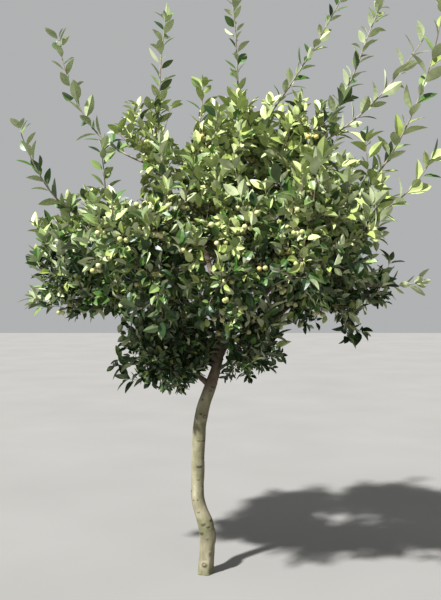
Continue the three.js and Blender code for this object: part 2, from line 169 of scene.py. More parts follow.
# Large-leaved sprigs on the front: right of the origin, height, length, length of leaf and tint.
# A millimetre off the aim counts as much as FRONT_AIM in depth.
FRONT_AIM = 4.0
# Their tints are partly painted light: some pale ones stand for leaves in sun, and the dark ones low by
# the trunk for leaves in shade
FRONT_SPRIGS = [
    (641, 2240, 130, 104, YOUNG), (610, 2190, 110, 96, GREY), (883, 2345, 150, 90, YOUNG),
    (740, 2572, 150, 84, DARK), (-410, 2580, 120, 72, YOUNG), (-642, 1790, 110, 88, GREY),
    (-69, 2215, 130, 84, GREY), (-250, 2320, 120, 66, GREY), (420, 2120, 120, 84, GREEN),
    (330, 2400, 120, 82, YOUNG), (60, 2430, 130, 80, OLIVE), (-330, 1900, 110, 80, GREY),
    (780, 2100, 120, 100, OLIVE), (905, 1990, 120, 96, GREY), (311, 1335, 110, 80, OLIVE),
    (382, 1290, 110, 78, YOUNG), (245, 1400, 110, 76, GREY), (-385, 1345, 110, 62, DARK),
    (-345, 1390, 110, 64, DARK), (-5, 1290, 100, 60, DARK), (22, 1235, 90, 58, DARK),
    (-20, 1140, 90, 56, DARK), (-60, 1110, 90, 56, DARK), (0, 1190, 90, 54, DARK),
    (-60, 2400, 110, 72, OLIVE), (200, 2390, 120, 74, YOUNG),
]

# Boughs, as in the source: each grows on the trunk, at a height, or on another bough, at a share
# of its length. Its middle is offset by bow from the straight line to its tip.
Bough = namedtuple("Bough", "on at tip bow radii")
BOUGHS = {
    "leader": Bough("trunk", FORK_HEIGHT, (-100, 50, 1990), None, (24, 9)),
    "right": Bough("trunk", 1210, (500, -40, 2010), (0, 0, -60), (21, 9)),
    "top": Bough("leader", 0.36, (180, 20, 2110), (30, 0, -20), (15, 8)),
    "upper_left": Bough("leader", 0.7, (-235, 90, 2190), (0, 0, -30), (12, 8)),
    "mid_left": Bough("leader", 0.48, (-390, 40, 1800), (0, 0, -10), (13, 8)),
    "left": Bough("trunk", 1170, (-500, -110, 1570), (-30, 0, 80), (18, 9)),
    "low_left": Bough("trunk", 1030, (-230, 20, 1260), (-25, 0, 10), (13, 8)),
    "low_right": Bough("right", 0.22, (520, 10, 1520), (20, 0, -40), (14, 8)),
    "far_right": Bough("right", 0.52, (650, -110, 1880), (0, 0, -30), (13, 8)),
    "front": Bough("trunk", 1220, (125, -360, 1660), (10, 30, 30), (15, 8)),
    "front_left": Bough("leader", 0.2, (-210, -370, 1690), (-20, -40, -20), (13, 8)),
    "front_right": Bough("right", 0.3, (440, -380, 1740), (20, -30, -20), (13, 8)),
    "low_front": Bough("trunk", 1110, (180, -90, 1240), (10, -15, -10), (9, 6)),
    "back": Bough("leader", 0.28, (140, 380, 1880), (0, 40, -30), (15, 8)),
    "back_left": Bough("trunk", 1140, (-240, 360, 1560), (-20, 40, -20), (15, 8)),
    "back_right": Bough("right", 0.16, (480, 380, 1680), (20, 40, -30), (14, 8)),
}

# Masses of foliage: the middle and half-sizes of each one's space, and its water shoots as
# (share of the stem's length, tip, bow, length and tint of its leaves)
MASSES = {
    "leader": ((20, 90, 2225), (185, 320, 295), [
        (0.7, (-15, 60, 2694), (10, 0, 0), 82, YOUNG)]),
    "right": ((480, -60, 2270), (250, 330, 285), [
        (0.45, (1030, 140, 3270), (30, 0, 30), 78, GREY),
        (0.8, (1175, -100, 2906), (30, 0, -60), 104, OLIVE),
        (0.7, (511, 0, 2583), (-20, 0, 0), 80, YOUNG)]),
    "top": ((175, 10, 2285), (260, 330, 270), [
        (0.6, (139, -60, 3185), (20, 0, -10), 74, GREEN),
        (0.75, (752, -220, 3150), (20, 0, -30), 76, GREEN)]),
    "upper_left": ((-270, 80, 2315), (190, 230, 245), [
        (0.5, (-228, 150, 3102), (-20, 0, 0), 88, GREY),
        (0.3, (-849, 200, 2999), (-100, 0, -130), 108, GREEN)]),
    "mid_left": ((-590, 60, 1830), (300, 330, 200), [
        (0.8, (-972, -180, 2394), (-60, 0, -60), 98, GREEN),
        (0.6, (-560, -60, 2310), (-10, 0, 0), 96, GREY)]),
    "left": ((-580, -90, 1610), (325, 350, 280), []),
    "low_left": ((-195, 40, 1270), (290, 320, 300), []),
    "low_right": ((670, 0, 1600), (330, 360, 265), [
        (0.8, (1130, -150, 1590), (0, 0, -40), 92, GREY)]),
    "far_right": ((700, -130, 1940), (250, 350, 250), [
        (0.7, (1160, -520, 2930), (70, 0, -130), 108, OLIVE),
        (0.5, (1117, -420, 2180), (30, -20, -90), 116, YOUNG)]),
    "front": ((115, -430, 1710), (290, 310, 390), []),
    "front_left": ((-270, -470, 1730), (310, 300, 320), []),
    "front_right": ((520, -460, 1800), (310, 300, 320), []),
    "low_front": ((215, -110, 1290), (230, 290, 265), []),
    "back": ((140, 490, 2010), (330, 320, 340), [
        (0.7, (210, 640, 2700), (0, 20, 0), 84, GREEN)]),
    "back_left": ((-310, 460, 1700), (330, 320, 330), []),
    "back_right": ((560, 480, 1800), (340, 320, 330), [
        (0.8, (860, 760, 2420), (20, 0, -30), 90, GREY)]),
}
CROWN_CENTRE = np.array([80.0, 0.0, 1500.0])

# Bark relief: the stand-off and size of its broad swellings, streaks and fine grain
BARK_LUMPS = [(1.8, (75, 75, 110)), (0.7, (16, 16, 40)), (0.3, (7, 7, 6))]
NOISE_STEP = np.array([17.3, 5.1, 9.7])
TRUNK_SIDES = 64
TRUNK_RING_STEP = 4.0
BOUGH_SIDES = 20
BOUGH_RING_STEP = 7.0
BOUGH_SINK = 12.0
BOUGH_SEED = 700
# Collars where boughs leave what they grow on: swell at the foot, and length as a share of the
# radius there. The leader carries the trunk on and has a very short one.
COLLAR_SWELL, COLLAR_LENGTH, LEADER_COLLAR = 0.45, 1.5, 1.0
# Rings of old bud scars along a bough
BUD_SCARS_FROM, BUD_SCAR_STEP, BUD_SCAR_SPREAD = 60, 70, 25
BUD_SCAR_LENGTH, BUD_SCAR_RISE, BUD_SCAR_DARKNESS = 3.5, 0.9, 0.55

# Cross scars where leaves and twigs have been: height, angle of their middle from the front
# towards the right, half-width in radians and half-height. Each is a groove between two lips.
SCARS = [
    (877, -0.1, 0.22, 5), (728, 0.2, 0.5, 3), (728, 1.05, 0.3, 4.5), (633, 1.2, 0.22, 7),
    (584, 0.31, 0.55, 6.5), (514, 0.1, 0.25, 3), (475, 1.1, 0.25, 6), (404, -0.74, 0.15, 4),
    (404, -0.07, 0.15, 4), (273, -0.18, 0.32, 7), (278, 1.02, 0.28, 7), (254, 0.38, 0.25, 5),
    (224, -0.78, 0.4, 9), (951, -0.53, 0.2, 6), (340, -0.35, 0.2, 4), (1030, 0.5, 0.5, 5),
    (790, 2.6, 0.6, 4), (640, 1.9, 0.5, 4), (510, 3.6, 0.6, 5), (350, 2.4, 0.5, 5),
    (1060, 1.5, 0.6, 5), (150, 4.1, 0.5, 5), (905, 4.4, 0.5, 4), (700, 4.0, 0.4, 3),
    (240, 3.0, 0.6, 7), (450, 5.0, 0.3, 4),
]
SCAR_ARCH, SCAR_ENDS = 0.5, 1.3
GROOVE_RELIEF, LIP_RELIEF, LIP_PLACE = 1.0, 0.8, 1.6
# Healed stubs of pruned limbs: height, angle from the front, radius, stand-off. Each has a pit
# in its middle and a dark rim, with sizes in shares of the stub's.
KNOBS = [(60, -0.22, 14, 9), (867, 0.55, 14, 6), (1009, 0.25, 9, 4), (121, 0.44, 10, 3),
         (197, 0.0, 7, 2), (640, 3.9, 11, 4), (300, 2.6, 13, 5)]
PIT_DEPTH, PIT_RADIUS = 0.45, 0.45
RIM_DARKNESS, RIM_RADIUS, RIM_WIDTH = 0.9, 0.62, 0.2
# Swellings with smooth bark: height, angle from the front, radius, stand-off
SWELLINGS = [(196, 1.6, 34, 7), (262, 0.9, 60, 4), (400, -1.3, 70, 3), (560, 2.4, 60, 3),
             (868, 0.3, 46, 3.5), (760, -2.0, 60, 3), (1010, 1.7, 50, 3)]
# Greenish zones of bark, partly real grey-green bark and partly painted shade, as in the hollow of the
# elbow: height, half-height, angle from the front and half-angle
GREEN_AND_SHADE_ZONES = [(15, 45, 0, 9), (262, 60, -0.7, 1.1), (262, 40, 0, 9), (540, 90, 0.4, 1.1),
               (700, 90, 0.3, 1.1), (860, 80, 0.5, 0.9), (420, 60, 3, 1.2), (800, 90, 4, 1)]
# Brown bark, partly real and partly painted shade: the heights between which it begins under the crown,
# where the crown's shade is painted on, and how strongly painted shade darkens the trunk lower down on
# its shaded side, at an angle from the front
BROWN_AND_SHADE_HEIGHTS = (950.0, 1090.0)
SHADED_SIDE, SHADED_SIDE_SHARE = 1.75, 0.6

# Twigs: radii at foot and tip, and each kind's rings, sides and bark
SOURCE_TWIG_RADII = (3.6, 1.6)
FINE_TWIG_RADII = (2.1, 1.0)
SPRIG_RADII = (2.4, 1.1)
OLD_WOOD, YOUNG_WOOD, SHOOT_WOOD = range(3)
STEM_TUBE = (18, 8, OLD_WOOD)
SOURCE_TWIG_TUBE = (12, 6, OLD_WOOD)
FINE_TWIG_TUBE = (6, 5, YOUNG_WOOD)
SPRIG_TUBE = (12, 5, YOUNG_WOOD)
SHOOT_TUBE = (28, 7, SHOOT_WOOD)

# Leaves: length at the middle of their range, width and spacing along a twig as shares of it.
# Lift turns them upward, and their upper sides face up, out of the crown and away from the twig.
# Tuft is how many stand close together at the tip.
CROWN_LEAF = dict(length=60.0, sizes=(0.65, 1.24), width=0.57, spacing=0.29, angle=0.95, first=0.12,
                  lift=0.1, up=0.6, out=0.4, away=0.0, tilt=0.75, curl=(0.02, 0.4), fold=(0.2, 0.8),
                  stations=3, tuft=2)
SPRIG_LEAF = dict(length=76.0, sizes=(0.7, 1.25), width=0.49, spacing=0.25, angle=0.82, first=0.15,
                  lift=0.08, up=0.5, out=0.0, away=-0.9, tilt=0.5, curl=(0.02, 0.35), fold=(0.2, 0.7),
                  stations=5, tuft=4)
SHOOT_LEAF = dict(sizes=(0.78, 1.3), width=0.46, spacing=0.27, angle=0.74, first=SHOOT_LEAVES_FROM,
                  lift=0.0, up=0.3, out=0.0, away=-0.9, tilt=0.5, curl=(0.02, 0.32), fold=(0.1, 0.5),
                  stations=5, tuft=4)
# Leaf sizes up the crown, at heights
CROWN_SIZES = ((1250.0, 1700.0, 2300.0), (0.78, 1.0, 1.1))
# Leaf sizes up a shoot, at shares of its length
SHOOT_SIZES = ((SHOOT_LEAVES_FROM, 0.45, 0.85, 1.0), (0.95, 1.05, 0.95, 0.8))
FEWEST_LEAVES = 3
LEAF_TURN = 0.5
ANGLE_SHARES = (0.7, 1.25)
TIP_ANGLE = 0.25
WIDTH_SHARES = (0.85, 1.12)
ODD_LEAVES = 0.25
TIP_TUFT = (1.0, 1.0, 0.985, 0.965)
FIRST_LEAF_RISE = 0.2
OUT_OF_CROWN = (1.0, 1.0, 0.5)
LEAF_ROOM = 4.0
STATION_PLACES = {3: (0.2, 0.5, 0.8), 5: (0.1, 0.27, 0.48, 0.7, 0.87)}
STATION_WIDTHS = {3: (0.68, 1.0, 0.62), 5: (0.38, 0.84, 1.0, 0.8, 0.44)}
LEAF_THICKNESS = 0.014
PETIOLE_LENGTH = 10.0
PETIOLE_RADIUS = 0.8
LEAF_SEED = 30000

# Fruit
FRUIT_RADIUS = 13.5
FRUIT_SIDES = 12
FRUIT_RINGS = 7
FRUIT_SIDEWAYS = np.array([0.8, 0.6, 0.1])
# Its profile, in shares of its radius. Fullness below 1 widens it towards both ends, and the
# dimple lies round its stalk, with its angle counted from the stalk.
FRUIT_HALF_HEIGHT, FRUIT_FULLNESS = 0.94, 0.9
DIMPLE_DEPTH, DIMPLE_ANGLE = 0.1, 0.5
FRUIT_POLES = np.array([[0.8], [-0.86]])
STALK_LENGTH = 17.0
STALK_SPREAD = (-4, 6)
STALK_RADIUS = 0.9
STALK_LEAN = 0.3
STALK_BOW = 1 / 12
STALK_END = 0.75
# Sepals: where the calyx and a sepal's root lie, in shares of the fruit's and the calyx's radius
CALYX_LENGTH = 4.5
CALYX_RADIUS = 3.6
CALYX_PLACE, SEPAL_ROOT = 0.8, 0.45
SEPALS = 5
SEPAL_HALF_WIDTH, SEPAL_DEPTH = 1.3, 1.1
CALYX_SLOT, STALK_SLOT = 3, 4
STALK_TUBE = (4, 4, STALK_SLOT)
# How far fruits stand from the middle of their cluster, by how many they are
CLUSTER_SPREADS = {1: 0.0, 2: 1.12, 3: 1.12, 4: 1.45}
# Seeded clusters: how many to a mass, their sizes from the first to below the second, and the
# shares of a twig's length that any cluster hangs at
CLUSTERS_PER_MASS = 7
CLUSTER_SIZES = (1, 4)
FRUIT_PLACES = (0.75, 1.0)
LOWEST_FRUIT = 1350.0
# Leaves stay out of a round space before each cluster, of this radius and depth. It faces the
# front on the clusters placed there, and out of the crown on the rest.
FRUIT_VIEW = 34.0
FRUIT_VIEW_DEPTH = 220.0
FRUIT_FACING = (0.5, 1.0, 0.0)
CLUSTER_SEED = 40000
FRUIT_SEED = 40001
# Clusters on the front of the crown: right of the origin, height, and how many fruits. Each
# hangs where it shows best, and a millimetre off its aim counts as much as FRUIT_AIM in depth.
FRUIT_AIM = 9.0
FRONT_CLUSTERS = [
    (311, 2154, 1), (421, 2033, 2), (371, 1962, 2), (440, 1800, 3), (382, 1753, 1),
    (316, 1714, 2), (520, 1735, 3), (399, 1610, 2), (382, 1527, 2), (459, 1478, 2),
    (261, 1417, 1), (212, 1483, 2), (-192, 2047, 2), (-245, 1871, 3), (-586, 1714, 1),
    (-734, 1489, 2), (-803, 1410, 2), (-597, 1978, 2), (476, 2369, 2), (124, 2240, 2),
    (-8, 2347, 2), (-36, 2545, 1), (-385, 2460, 4), (-340, 2430, 4), (-96, 2077, 2),
    (-399, 2176, 2), (-157, 1846, 3), (25, 1995, 2), (135, 1610, 2), (63, 1428, 2),
    (107, 1813, 2), (206, 1912, 3), (520, 1912, 3), (340, 2040, 3), (-470, 1850, 2),
    (250, 2290, 2), (580, 2080, 2), (-390, 1640, 2),
]

# Bark colours, each dark tone before its paler ones
BARK_ROUGHNESS = 0.82
WOOD_ROUGHNESS = 0.7
TRUNK_TONES = ((0.132, 0.117, 0.072), (0.240, 0.216, 0.134), (0.405, 0.368, 0.255))
# The trunk's greenish colour, also painted shade in its greenish zones
TRUNK_GREEN_AND_SHADE = (0.132, 0.132, 0.062)
# Brown bark, also painted shade under the crown and on the trunk's shaded side
BROWN_AND_SHADE_BARK = (0.095, 0.062, 0.040)
BOUGH_TONES = ((0.070, 0.050, 0.033), (0.115, 0.088, 0.058), (0.190, 0.155, 0.108))
BOUGH_GREEN = (0.095, 0.100, 0.058)
SCAR_COLOUR = (0.030, 0.022, 0.015)
TWIG_WOODS = [
    ("old_wood", (0.075, 0.055, 0.038), (0.160, 0.125, 0.085)),
    ("young_wood", (0.110, 0.075, 0.045), (0.240, 0.185, 0.115)),
    ("shoot_wood", (0.140, 0.105, 0.078), (0.340, 0.295, 0.225)),
]
FRUIT_WOODS = [
    ("calyx", (0.030, 0.020, 0.012), (0.070, 0.048, 0.030)),
    ("fruit_stalk", (0.150, 0.140, 0.060), (0.260, 0.240, 0.120)),
]

# Fruit colours: skin and blush of each kind, the share of fruits up to and with each, and the
# dots on all of them
FRUIT_COLOURS = [
    ("fruit_green", (0.38, 0.42, 0.15), (0.50, 0.50, 0.20)),
    ("fruit_pale", (0.50, 0.51, 0.24), (0.62, 0.58, 0.29)),
    ("fruit_gold", (0.58, 0.47, 0.16), (0.62, 0.38, 0.12)),
]
FRUIT_SHARES = (0.5, 0.94, 1.0)
FRUIT_DOTS = (0.2, 0.15, 0.05)
FRUIT_ROUGHNESS = 0.42

# Leaf colours: upper sides by how many sprays take them, then undersides
LEAF_TINTS = [
    ("leaf_dark", (0.015, 0.041, 0.009), 0.31),
    ("leaf_green", (0.050, 0.113, 0.018), 0.30),
    ("leaf_grey", (0.158, 0.232, 0.072), 0.16),
    ("leaf_olive", (0.250, 0.312, 0.076), 0.12),
    ("leaf_young", (0.405, 0.470, 0.185), 0.11),
]
UNDERSIDES = [
    ("leaf_felt", (0.390, 0.450, 0.240)),
    ("leaf_felt_green", (0.325, 0.395, 0.140)),
    # A dull underside: painted shade on the felt
    ("leaf_felt_painted_shade", (0.074, 0.108, 0.040)),
]
# The underside that goes with each tint: the dark tint takes the dull underside, which is painted shade
# on the pale felt
UNDERSIDE_OF = (2, 0, 0, 0, 1)
# Tints are dealt by height, paler above and darker below: partly young growth, partly painted light
# above and painted shade below
LOWEST_LEAF, HIGHEST_LEAF = 1080.0, 2340.0
YOUNGER_AND_LIT_ABOVE = 1.6
LEAF_ROUGHNESS, LEAF_GLOSS = 0.42, 0.42
FELT_ROUGHNESS, FELT_GLOSS, FELT_SHEEN = 0.85, 0.2, 0.25
# How dark and how pale a leaf's tint gets from place to place
LEAF_SHADES = (0.8, 1.2)
# A mix node's sockets for colours, which share their names with its others
FACTOR_INPUT, BASE_INPUT, COLOUR_INPUT, MIXED_OUTPUT = 0, 6, 7, 2


def unit(vectors):
    return vectors / np.linalg.norm(vectors, axis=-1, keepdims=True)


def across(vectors, directions):
    """The part of each vector that is square to its direction."""
    return vectors - (vectors * directions).sum(-1, keepdims=True) * directions


def smoothstep(x, low, high):
    t = np.clip((x - low) / (high - low), 0, 1)
    return t * t * (3 - 2 * t)


def turns(count):
    """Angles evenly round a circle."""
    return 2 * np.pi * np.arange(count) / count


def spokes(count, side, up):
    """Directions evenly round an axis, from two that are square to it."""
    turn = turns(count)[:, None]
    return np.cos(turn) * side + np.sin(turn) * up


def turned(angle, middle):
    """How far round each angle is from the middle one, from -pi to pi."""
    return (angle - middle + np.pi) % (2 * np.pi) - np.pi


def lumps(points, size, seed):
    """Smooth noise from -1 to 1 at each point, with lumps of one size or of one for each axis."""
    places = (points / np.array(size)).reshape(-1, 3) + seed * NOISE_STEP
    return np.array([noise.noise(Vector(place)) for place in places]).reshape(points.shape[:-1])


def seeded(seed):
    """A multiplying generator with a fixed seed, the one that the source draws from."""
    state = seed

    def draw(low=0.0, high=1.0):
        nonlocal state
        state = state * DRAW_FACTOR % DRAW_MODULUS
        return low + (high - low) * state / DRAW_MODULUS
    return draw


def draws(seed, mass):
    """A generator with a fixed seed for each mass."""
    return np.random.default_rng(seed + SEED_STEP * mass.number)


# Limbs

class Limb:
    """A centre line from start to end, offset by bow in its middle, that sways to both sides."""

    def __init__(self, start, end, bow, sway=0.0):
        self.start = np.array(start, float)
        self.end = np.array(end, float)
        self.control = (self.start + self.end) / 2 + 2 * np.array(bow, float)
        along = self.end - self.start
        self.span = np.linalg.norm(along)
        aside = np.array([-along[1], along[0], SWAY_RISE * self.span])
        self.sway = unit(aside) * sway * self.span

    def at(self, t):
        t = np.asarray(t, float)[..., None]
        hump = 4 * t * (1 - t)
        arc = (1 - t) ** 2 * self.start + 2 * t * (1 - t) * self.control + t ** 2 * self.end
        return arc + hump ** 2 * np.sin(3 * np.pi * t) * self.sway

    def heading(self, t):
        t = np.asarray(t, float)
        return unit(self.at(np.minimum(t + HEADING_STEP, 1)) - self.at(np.maximum(t - HEADING_STEP, 0)))


def bow_for(start, end, direction):
    """The bow that makes a line from start to end set off in the given direction."""
    along = np.subtract(end, start)
    return (np.array(direction) * np.linalg.norm(along) - along) / 4


def trunk_centre(height):
    height = np.asarray(height, float)
    x, y = (sum(far * smoothstep(height, low, high) for far, low, high in shifts)
            for shifts in (TRUNK_SHIFTS, TRUNK_DEPTHS))
    return np.stack([x, y, height], axis=-1)


def trunk_radius(height):
    lower = FOOT_RADIUS + (MIDDLE_RADIUS - FOOT_RADIUS) * smoothstep(height, *ELBOW_TAPER)
    thinning = (MIDDLE_RADIUS - FORK_RADIUS) * smoothstep(height, *FORK_TAPER)
    return lower - thinning + ROOT_FLARE * np.exp(-height / FLARE_HEIGHT)


def bough_limbs():
    """The boughs' centre lines, each from the axis of what it grows on."""
    limbs = {}
    for name, bough in BOUGHS.items():
        start = trunk_centre(bough.at) if bough.on == "trunk" else limbs[bough.on].at(bough.at)
        if bough.at == FORK_HEIGHT:
            start = start + JOINT_GAP * UP
        bow = bow_for(start, bough.tip, UP) if bough.bow is None else bough.bow
        limbs[name] = Limb(start, bough.tip, bow, BOUGH_SWAY)
    return limbs


class Mass:
    """One mass of foliage: its space, its stem and its water shoots, as (limb, length and tint of
    its leaves), and the twigs, sprigs and clusters of fruit that are added later."""

    def __init__(self, number, name, bough):
        centre, reach, shoots = MASSES[name]
        self.number = number
        self.name = name
        self.centre = np.array(centre, float)
        self.reach = np.array(reach, float)
        heading = bough.heading(1.0)
        start = bough.at(1.0) + JOINT_GAP * heading
        end = self.centre + STEM_RISE * self.reach * UP
        self.stem = Limb(start, end, bow_for(start, end, heading))
        self.shoots = [(Limb(self.stem.at(share), tip, bow, SHOOT_SWAY), leaf, tint)
                       for share, tip, bow, leaf, tint in shoots]
        others = np.array([other[0] for key, other in MASSES.items() if key != name], float)
        self.wall_normals = unit(others - self.centre)
        self.wall_offsets = (self.wall_normals * (others + self.centre) / 2).sum(-1)
        self.source, self.fine, self.young, self.front, self.clusters = [], [], [], [], []

    @property
    def twigs(self):
        return self.source + self.fine

    def holds(self, points):
        """Whether each point is inside the walls that stand half way to every other mass."""
        return (points @ self.wall_normals.T < self.wall_offsets - WALL_ROOM).all(-1)


class Lengths:
    """Limbs as short straight lengths, to test what comes near them. Each entry is (owner, limb,
    radii at its foot and tip, how many lengths, share of it that is left out)."""

    def __init__(self, entries):
        starts, runs, radii, owners = [], [], [], []
        for owner, limb, (foot, tip), count, first in entries:
            t = np.arange(count + 1) / count
            places = limb.at(first + (1 - first) * t)
            starts.append(places[:-1])
            runs.append(np.diff(places, axis=0))
            radii.append(foot + (tip - foot) * t[:-1])
            owners += [owner] * count
        self.starts, self.runs, self.radii = map(np.concatenate, (starts, runs, radii))
        self.owners = np.array(owners)

    def touched(self, points, owner, room=LIMB_ROOM):
        """Whether each point is within room of a length that belongs to another owner."""
        far = self.owners != owner
        starts, runs, radii = self.starts[far], self.runs[far], self.radii[far]
        gaps = points[:, None] - starts
        t = np.clip((gaps * runs).sum(-1) / (runs * runs).sum(-1), 0, 1)
        distances = np.linalg.norm(gaps - t[..., None] * runs, axis=-1)
        return (distances < radii + room).any(-1)


def bough_entries(limbs):
    return [("boughs", limb, BOUGHS[name].radii, BOUGH_LENGTHS, 0) for name, limb in limbs.items()]


def mass_entries(masses):
    """The stems and water shoots of the masses, and the leafy space round each shoot."""
    for mass in masses:
        yield mass.name, mass.stem, (WIDEST_STEM, STEM_END_RADIUS), STEM_LENGTHS, 0
        for shoot, _, _ in mass.shoots:
            yield mass.name, shoot, SHOOT_RADII, SHOOT_LENGTHS, 0
            yield mass.name, shoot, (SHOOT_SPREAD, SHOOT_SPREAD), LEAFY_LENGTHS, SHOOT_LEAVES_FROM


# Growth

def source_twigs(mass, lengths):
    """The twigs that the source grows on a mass, from the same draws."""
    draw = seeded(TWIG_SEED + SEED_STEP * mass.number)
    foot = mass.stem.at(0.0)
    axis = mass.stem.at(1.0) - foot
    twigs = []
    for i in range(TWIGS_PER_MASS):
        height = 1 - (2 * i + 1) / TWIGS_PER_MASS
        turn = GOLDEN_ANGLE * i + draw(*TWIG_TURNS)
        width = math.sqrt(1 - height * height)
        depth = draw(*TWIG_DEPTHS)
        sag = TWIG_SAG * draw(*SAG_SHARES)
        outward = np.array([width * math.cos(turn), width * math.sin(turn), height])
        outward *= (mass.reach - OVERHANG) * depth
        for share in TWIG_TRIES:
            tip = mass.centre + outward * share
            level = (tip - foot) @ axis / (axis @ axis) - TWIG_LEAD
            root = mass.stem.at(np.clip(level, *TWIG_ROOTS))
            span = np.linalg.norm(tip - root)
            if span < SHORTEST_TWIG:
                break
            twig = Limb(root, tip, -sag * span * UP, TWIG_SWAY)
            places = twig.at(TWIG_TESTS)
            if mass.holds(places).all() and not lengths.touched(places, mass.name).any():
                twigs.append(twig)
                break
    return twigs


def seen_at(places):
    """Where each place shows from the camera, on the upright plane through the origin: right of
    the origin and height."""
    shrink = -CAMERA_PLACE[1] / (places[:, 1] - CAMERA_PLACE[1])
    shown = CAMERA_PLACE + (places - CAMERA_PLACE) * shrink[:, None]
    return shown[:, 0], shown[:, 2]


def foremost(places, right, height, aim):
    """The number of the place that shows best near an aim: the one nearest the front, where a
    millimetre off it counts as much as aim in depth."""
    x, z = seen_at(places)
    return np.argmin(places[:, 1] + aim * np.hypot(x - right, z - height))


def cleared(places):
    """Whether each place is in one of the gaps in the crown."""
    x, z = seen_at(places)
    return np.any([((x - right) / width) ** 2 + ((z - height) / tall) ** 2 + (places[:, 1] > depth) < 1
                   for right, height, width, tall, depth in CLEARINGS], axis=0)


def fine_twigs(mass, lengths):
    """Finer twigs, evenly spread through the mass's space, from its stem and source twigs."""
    draw = draws(FINE_SEED, mass)
    count = round(FINE_DENSITY * TWIG_SHARES.get(mass.name, 1) * np.prod(mass.reach) ** (2 / 3))
    outward = unit(draw.normal(size=(count, 3)))
    depth = draw.uniform(size=(count, 1)) ** FINE_CROWDING
    outline = 1 + OUTLINE_LUMPS * lumps(outward, OUTLINE_SIZE, mass.number)[:, None]
    tips = mass.centre + outward * depth * outline * (mass.reach - FINE_OVERHANG)
    tips = tips[mass.holds(tips) & ~lengths.touched(tips, mass.name) & ~cleared(tips)]
    tips = tips[lumps(tips, CLUMP_SIZE, mass.number) > HOLLOW_BELOW]
    hosts = [mass.stem, *mass.source]
    places = np.concatenate([host.at(FINE_ROOTS) for host in hosts])
    headings = np.concatenate([host.heading(FINE_ROOTS) for host in hosts])
    twigs = []
    for tip in tips:
        apart = tip - places
        distances = np.linalg.norm(apart, axis=-1)
        ahead = (apart * headings).sum(-1) / distances
        chosen = np.argmin(distances * (BEND_COST - ahead))
        root, span = places[chosen], distances[chosen]
        if not SHORTEST_FINE < span < LONGEST_FINE:
            continue
        bow = span * FINE_BOW * (draw.uniform(-1, 1, 3) - UP)
        twig = Limb(root, tip, bow, FINE_SWAY)
        if not lengths.touched(twig.at(FINE_TESTS), mass.name).any():
            twigs.append(twig)
    return twigs


def sprig(root, tip, length):
    return Limb(root, tip, -SPRIG_SAG * length * UP, FINE_SWAY)


def young_sprigs(mass, lengths):
    """Young twigs that rise from the outermost twigs, where no other mass is near."""
    draw = draws(SPRIG_SEED, mass)
    outward = unit(draw.normal(size=(SPRIGS_PER_MASS, 3)) + SPRIG_RISE * UP)
    tips = mass.centre + outward * draw.uniform(*SPRIG_REACH, (SPRIGS_PER_MASS, 1)) * mass.reach
    room = SPRIG_LEAF["length"]
    free = mass.holds(tips) & ((tips > BOX_LOW + room) & (tips < BOX_HIGH - room)).all(-1)
    free &= ~lengths.touched(tips, mass.name) & ~cleared(tips)
    places = np.concatenate([twig.at(SPRIG_ROOTS) for twig in mass.twigs])
    shortest, longest = SPRIG_LENGTHS
    young = []
    for tip in tips[free]:
        below = places - (tip - longest / 2 * UP)
        root = places[np.argmin(np.linalg.norm(below, axis=-1))]
        span = np.linalg.norm(tip - root)
        if shortest < span < longest:
            young.append(sprig(root, tip, span))
    return young


def places_on(masses, shares):
    """Places on every mass's twigs, at shares of their length, and the number of each one's mass."""
    rows = [np.concatenate([twig.at(shares) for twig in mass.twigs]) for mass in masses]
    return np.concatenate(rows), np.repeat(np.arange(len(masses)), [len(row) for row in rows])


def add_front_sprigs(masses):
    """Gives the masses the large-leaved sprigs on the front, each with its leaf length and tint."""
    places, owners = places_on(masses, SPRIG_ROOTS)
    x, z = seen_at(places)
    for right, height, length, leaf, tint in FRONT_SPRIGS:
        chosen = foremost(places, right, height - length, FRONT_AIM)
        root = places[chosen]
        tip = root + np.array([right - x[chosen], 0, height - z[chosen]])
        masses[owners[chosen]].front.append((sprig(root, tip, length), leaf, tint))


def add_clusters(masses):
    """Gives the masses their clusters of fruit, as (place, count, facing): at fixed places on the
    front, and at seeded ones all round."""
    places, owners = places_on(masses, FRUIT_PLACES)
    for right, height, count in FRONT_CLUSTERS:
        chosen = foremost(places, right, height, FRUIT_AIM)
        masses[owners[chosen]].clusters.append((places[chosen], count, -BACK))
    for mass in masses:
        draw = draws(CLUSTER_SEED, mass)
        high_enough = places[(owners == mass.number) & (places[:, 2] > LOWEST_FRUIT)]
        for place in draw.choice(high_enough, CLUSTERS_PER_MASS, replace=False):
            facing = unit((place - CROWN_CENTRE) * FRUIT_FACING)
            mass.clusters.append((place, draw.integers(*CLUSTER_SIZES), facing))


def grown_masses(limbs):
    """The masses of foliage with their twigs, sprigs and clusters of fruit."""
    masses = [Mass(number, name, limbs[name]) for number, name in enumerate(MASSES)]
    lengths = Lengths([*bough_entries(limbs), *mass_entries(masses)])
    for mass in masses:
        mass.source = source_twigs(mass, lengths)
        mass.fine = fine_twigs(mass, lengths)
        mass.young = young_sprigs(mass, lengths)
    add_front_sprigs(masses)
    add_clusters(masses)
    return masses


# Meshes

def new_object(name, data):
    item = bpy.data.objects.new(name, data)
    bpy.context.scene.collection.objects.link(item)
    return item


